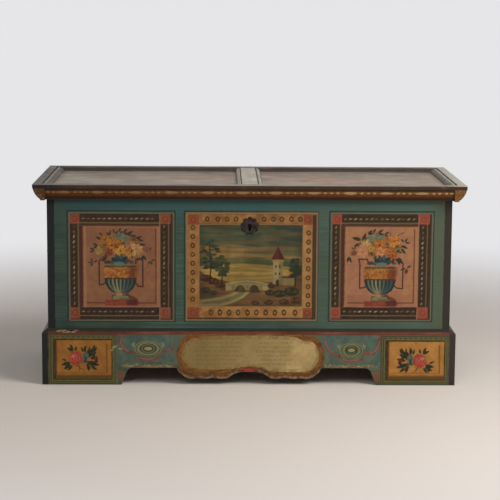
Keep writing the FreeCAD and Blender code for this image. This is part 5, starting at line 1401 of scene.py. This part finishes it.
# %% Ovals and ribbons
def oval_ornament(field, x, z, half_wide, side):
    """Nested green and cream ovals hung on red ribbons. side is -1 at the left and 1 at the right."""
    field = measured_from(field, x, z)
    ribbons = (([(-99, 50), (-95, 22), (-86, 0), (-68, -12), (-46, -11)], 10),
               ([(98, 48), (90, 24), (80, 4), (66, -8), (54, -12)], 8),
               ([(-42, -28), (-20, -37), (8, -39), (30, -32), (44, -20)], 8))
    for points, width in ribbons:
        course = curved([(-side * dx, dz) for dx, dz in points])
        lay(field, ("6A3634", 0.75, line, course, width))
        scumble(field, "8E5048", line(field, course, width), 10, 0.9, int(width) + len(course))
        lines(field, "B08074", width * 0.3, 0.5, [(px, pz + 2) for px, pz in course[3:-4]])
    rings = ((1.5, 0, "8E8A60"), (5.5, -0.5, "3A4436"), (9, 0, "7C7C58"), (14, 0, "96906A"),
             (21, 0, "3A4436"), (26, 0, "7A7A54"))
    tips = (-1.05, 4, 110), (-1.1, 8, 70), (1.05, 4, 70), (1.1, 8, 110)
    lay(field, ("3E4C42", 0.9, oval, 0, 0, half_wide + 1, 28),
        *((tone, 0.85, ring, 0, dz, half_wide - off, 27 - off * 0.5, 2.6) for off, dz, tone in rings),
        ("363E30", 0.85, oval, 0, 0, half_wide * 0.42, 10),
        ("9A946C", 1, oval, 0, 0, half_wide * 0.29, 6.2),
        *(("8A8A6A", 0.7, leaf, dx * half_wide, dz, 18, 6, turn) for dx, dz, turn in tips))


print("ovals ready")

# %% The lower edge
PLINTH_BLUE, PLINTH_RED = "48696A", "6B3A2C"
APRON_EDGE, FOOT_EDGE = 61.5, 443  # mm: the apron's height, and where the feet begin
LOBES = ((25, 46), (48.5, 39.8), (72, 24), (98.5, 20.8), (125, 25.6), (152.5, 20.8),
         (180, 24), (206.25, 21.6), (232.5, 35.2), (241.25, 42), (250, 60))


def worn_edge(field, measure, colours, seed):
    """A worn tan rim along the sawn edge. measure is the height above the edge in mm."""
    paint(field, colours[0], 8 - measure, 0.7, soft=3)
    scumble(field, colours[1], 6 - measure, 8, 0.9, seed)


def leaf_edge(field, left, right, seed):
    """A row of small curled leaves along the apron, in cream and dull pink."""
    hand = np.random.default_rng(seed)
    for x in np.arange(left, right, 9.0):
        tone = mixed("8E6450", "B4A67E", hand.uniform(0, 1))
        way, low = hand.choice((20, 160)) + hand.uniform(-15, 15), APRON_EDGE + hand.uniform(3, 8)
        lay(field, ("3E3A2C", 0.6, leaf, x, low - 1.5, 13, 6, way),
            (tone, 0.85, leaf, x, low, hand.uniform(9, 14), 4, way))


def sawn_edge(columns):
    """The height of the plinth's lower edge, and 1.5 mm of bare wood, for each place along x."""
    far = abs(columns)
    edge = np.where(far > FOOT_EDGE + 12, 3.0, APRON_EDGE + np.clip((far - FOOT_EDGE + 16) * 0.2, 0, 3))
    edge[far <= 25] = 46 + 1.5
    for three in zip(LOBES[::2], LOBES[1::2], LOBES[2::2]):
        arc = (far >= three[0][0]) & (far <= three[2][0])
        edge[arc] = np.polyval(np.polyfit(*zip(*three), 2), far[arc]) + 1.5
    return edge


print("lower edge at the middle", sawn_edge(np.zeros(1))[0], "mm")


# %% The ends of the plinth
def plinth_end(name, side, seed, panel, oval_at, rose_at, yellows):
    """The rose panel and the oval on one side of the cartouche. side is -1 or 1."""
    left, right = sorted((side * 262, side * 694))
    # The left end's ground is darker than the right end's: painted shade.
    field = primed(left, right, sawn_edge, PANEL_TOP, "526058" if side < 0 else "596860", seed)
    everywhere = box(field, left - 9, right + 9, -9, 200)
    scumble(field, PLINTH_BLUE, everywhere, 40, 0.7, seed + 1)
    scumble(field, "6A7464", everywhere, 22, 0.5, seed + 5)
    scumble(field, "3C463C", everywhere, 12, 0.35, seed + 3)
    lines(field, PLINTH_RED, 5, 0.8, [(left, 179), (right, 179)])
    foot_x = side * (FOOT_EDGE + 4)
    lay(field, ("7C4A34", 0.85, leaf, foot_x + side * 2, 4, 56, 15, 90 - side * 4),
        ("9A7A54", 0.7, leaf, foot_x - side * 2, 8, 44, 5, 90 - side * 10))
    oval_ornament(field, *oval_at, side)
    rose_panel(field, *panel, seed + 10, yellows)
    rose_spray(field, *rose_at, -side, seed + 16)
    above = field["z"] - np.where(abs(field["x"]) > FOOT_EDGE + 2, -50, APRON_EDGE)
    worn_edge(field, above, ("75654A", "A09068"), seed + 30)
    leaf_edge(field, *sorted((side * 268, side * 430)), seed + 31)
    if side < 0:
        chips = (-462, 130, 165), (-470, 133, 20), (-468, 125, 195), (-452, 127, 0)
        lay(field, *(("A49A70", 0.8, leaf, px, pz, 15, 5, way) for px, pz, way in chips))
    sheet_of(field, name, PLINTH_FRONT)


# The left end's yellows are darker than the right end's: painted shade at the left end.
plinth_end("painted_plinth_left", side=-1, seed=500, panel=(-694, -461, 4, 177.5),
           oval_at=(-349.6, 128, 47), rose_at=(-600, 92), yellows=("9C6A32", "AA7838", "8A5626"))
plinth_end("painted_plinth_right", side=1, seed=600, panel=(457, 693, 4, 175),
           oval_at=(355, 123.6, 40), rose_at=(594, 86), yellows=("AC7A40", "BC884A", "9A6430"))

# %% [markdown]
# ## The cartouche
# The cartouche was laid first in cream over the whole middle of the plinth. Its border was then brushed
# in short curved strokes of brown, orange and gold that follow the edge, and a small red shell marks the
# middle of the lower rim. The cream is darkened at the left by painted shade, and sprays of tiny leaves
# are almost rubbed away on it. The sawn lobes below are worn to a pinkish tan.

# %% The border and the sprays of the cartouche
CREAM_EDGE = [(-208, 156), (-224, 136), (-232, 110), (-226, 84), (-206, 66), (-178, 58), (-110, 56),
              (-50, 57), (-28, 63), (0, 64), (28, 62), (56, 52), (110, 47), (170, 47), (212, 53), (234, 76),
              (242, 106), (233, 134), (218, 153), (186, 156), (158, 169), (100, 173), (0, 174), (-100, 172),
              (-170, 166)]


def scrolls(field, seed):
    """Short curved strokes that follow the border, from dark brown to gold."""
    hand = np.random.default_rng(seed)
    course = np.array(curved(CREAM_EDGE, closed=True))
    centre = np.array([0, 108])
    for tone, count, out, width, strength in (
            ("4E3018", 80, (3, 20), 6, 0.8), ("7E4820", 100, (1, 20), 5, 0.85),
            ("9A6028", 70, (0, 18), 4, 0.75), ("6A4E28", 40, (2, 20), 5, 0.6),
            ("B8864A", 40, (-1, 14), 2.4, 0.7), ("3E281A", 60, (4, 20), 2.4, 0.75)):
        for _ in range(count):
            start = hand.integers(len(course))
            picked = [course[(start + n) % len(course)] for n in range(3)]
            far = hand.uniform(*out), hand.uniform(*out)
            points = []
            for place, off in zip(picked, (far[0], sum(far) / 2, far[1])):
                away = (place - centre) * (0.35, 1.0)
                points.append(tuple(place + away / np.linalg.norm(away) * off))
            paint(field, tone, line(field, points, width * hand.uniform(0.6, 1.1)), strength)


def faint_sprays(field, left, right, rows, seed):
    """Level sprays of tiny brown leaves, nearly rubbed away."""
    hand = np.random.default_rng(seed)
    for row in rows:
        x = left + hand.uniform(0, 20)
        while x < right - hand.uniform(0, 30):
            for side in (-1, 1):
                turn, long = side * hand.uniform(30, 60), hand.uniform(5, 8)
                paint(field, "5E4A2C", leaf(field, x, row, long, 2.6, turn), hand.uniform(0.3, 0.7))
            x += hand.uniform(6, 9)


print("border and sprays ready")

# %% Paint the cartouche
cartouche = primed(-262, 262, sawn_edge, PANEL_TOP, "56645C", 700)
above_edge = cartouche["z"] - sawn_edge(cartouche["x"][0])
cream = outline(cartouche, curved(CREAM_EDGE, closed=True))
painted_shade_at_left = np.clip(0.5 - cartouche["hand_x"] / 300, 0, 1)
scumble(cartouche, PLINTH_BLUE, box(cartouche, -270, 270, 0, 200), 40, 0.7, 701)
lines(cartouche, PLINTH_RED, 5, 0.8, [(-262, 179), (262, 179)])
paint(cartouche, "6E4626", cream + 20)
paint(cartouche, "6E4A2A", np.minimum(66 - cartouche["hand_z"], 252 - abs(cartouche["hand_x"])))
scumble(cartouche, "945C26", np.minimum(cream + 19, 14 - abs(cream + 7)), 12, 0.8, 703)
scrolls(cartouche, 704)
scumble(cartouche, "7A4A1E", np.minimum(cream + 20, -cream), 8, 0.42, 713)
paint(cartouche, "B49C70", cream)
scumble(cartouche, "C6AC7C", np.minimum(cream, cartouche["hand_x"] - 130), 30, 0.8, 705)
scumble(cartouche, "A08A5C", cream, 36, 0.55, 706)
# Painted shade: the cream is darker towards the left.
paint(cartouche, "826E46", cream, painted_shade_at_left * 0.75, body=0)
scumble(cartouche, "75603C", 10 - cream, 9, 0.5, 707)
faint_sprays(cartouche, -196, -14, range(74, 172, 15), 708)
faint_sprays(cartouche, 20, 158, range(74, 172, 15), 709)
scumble(cartouche, "6E4A2A", np.minimum(14 - above_edge, 70 - cartouche["hand_z"]), 14, 0.9, 710)
worn_edge(cartouche, above_edge, ("8C6650", "B0907A"), 711)
scumble(cartouche, "52341F", np.minimum(20 - above_edge, 70 - cartouche["hand_z"]), 9, 0.7, 712)
lay(cartouche,
    ("7A2C28", 1, outline, curved([(-34, 46), (-20, 57), (0, 62), (20, 57), (34, 46)], closed=True)),
    ("A64A44", 0.9, oval, 0, 53, 20, 5.5),
    *(("6A2420", 0.6, line, [(0, 44), (dx, 58)], 1.4) for dx in (-16, -6, 6, 16)))
sheet_of(cartouche, "painted_cartouche", PLINTH_FRONT)

# %% [markdown]
# ## Bead and reel on the moulding
# Along the front moulding runs a painted bead and reel: a long light tan oval, then three dots, over and
# over. The dabs are thick, so each one is its own small dome of paint. A ray finds the curved moulding
# behind each point, and the point is set a fraction of a mm in front of it.

# %% Dabs on the curved moulding
BEADS = (-634, -519, -393, -269, -148, -25, 86, 217, 339, 465, 585)
DAB_HEIGHT = 673.5  # mm


def dab(finder, x, half_wide, half_high, tone, hand):
    """One dome of paint with a sunk back: its places in mm, faces and colours."""
    spokes, rings = 16, (1.0, 0.86, 0.6, 0.25)
    turns = np.linspace(0, 2 * math.pi, spokes, endpoint=False)
    three, five = hand.uniform(0, 6), hand.uniform(0, 6)
    wobble = 1 + 0.07 * np.sin(3 * turns + three) + 0.05 * np.sin(5 * turns + five)
    places, tones = [], []
    for share, rise, light in ((1.0, -0.5, 0.0),
                               *zip(rings, (0.02, 0.22, 0.32, 0.36), (0.0, 0.7, 1.0, 0.95))):
        reach = share * wobble
        across, rises = half_wide * reach * np.cos(turns), half_high * reach * np.sin(turns)
        for px, pz in zip(x + across, DAB_HEIGHT + rises):
            hit = finder.ray_cast(Vector((px, -400, pz)) * MM, Vector((0, 1, 0)))[0]
            places.append((px, hit.y / MM - rise, pz))
            tones.append(mixed("3C2414", tone, light * hand.uniform(0.85, 1.0)))
    faces = [list(range(spokes)), list(range(5 * spokes - 1, 4 * spokes - 1, -1))]
    for low in range(0, 4 * spokes, spokes):
        for n in range(spokes):
            after = (n + 1) % spokes
            faces.append([low + n, low + spokes + n, low + spokes + after, low + after])
    return places, faces, tones


def bead_and_reel():
    """All the dabs as one piece on the front moulding."""
    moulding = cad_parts["lid_front_moulding"]
    corners, sides = moulding.data.vertices, moulding.data.polygons
    finder = BVHTree.FromPolygons([corner.co for corner in corners], [side.vertices for side in sides])
    hand = np.random.default_rng(800)
    dots = [-686, -669, 628, 648, 668, 686]
    for one, other in zip(BEADS, BEADS[1:]):
        dots += [one + (other - one) * share for share in (0.33, 0.5, 0.67)]
    places, faces, tones = [], [], []
    for x, half_wide, half_high in [(x, 28, 5.6) for x in BEADS] + [(x, 6.4, 4.4) for x in dots]:
        # Painted light: the dabs are lighter towards the right end.
        tone = mixed("9A7250", "CFA478", np.clip((x + 500) / 900, 0, 1) * hand.uniform(0.8, 1))
        middle, high = x + hand.uniform(-2, 2), half_high * hand.uniform(0.85, 1.1)
        new_places, new_faces, new_tones = dab(finder, middle, half_wide, high, tone, hand)
        faces += [[len(places) + n for n in face] for face in new_faces]
        places += new_places
        tones += new_tones
    places, tones = np.array(places) * MM, np.array(tones)
    paint_sheet("bead_and_reel", places, faces, tones, body="lid")


bead_and_reel()
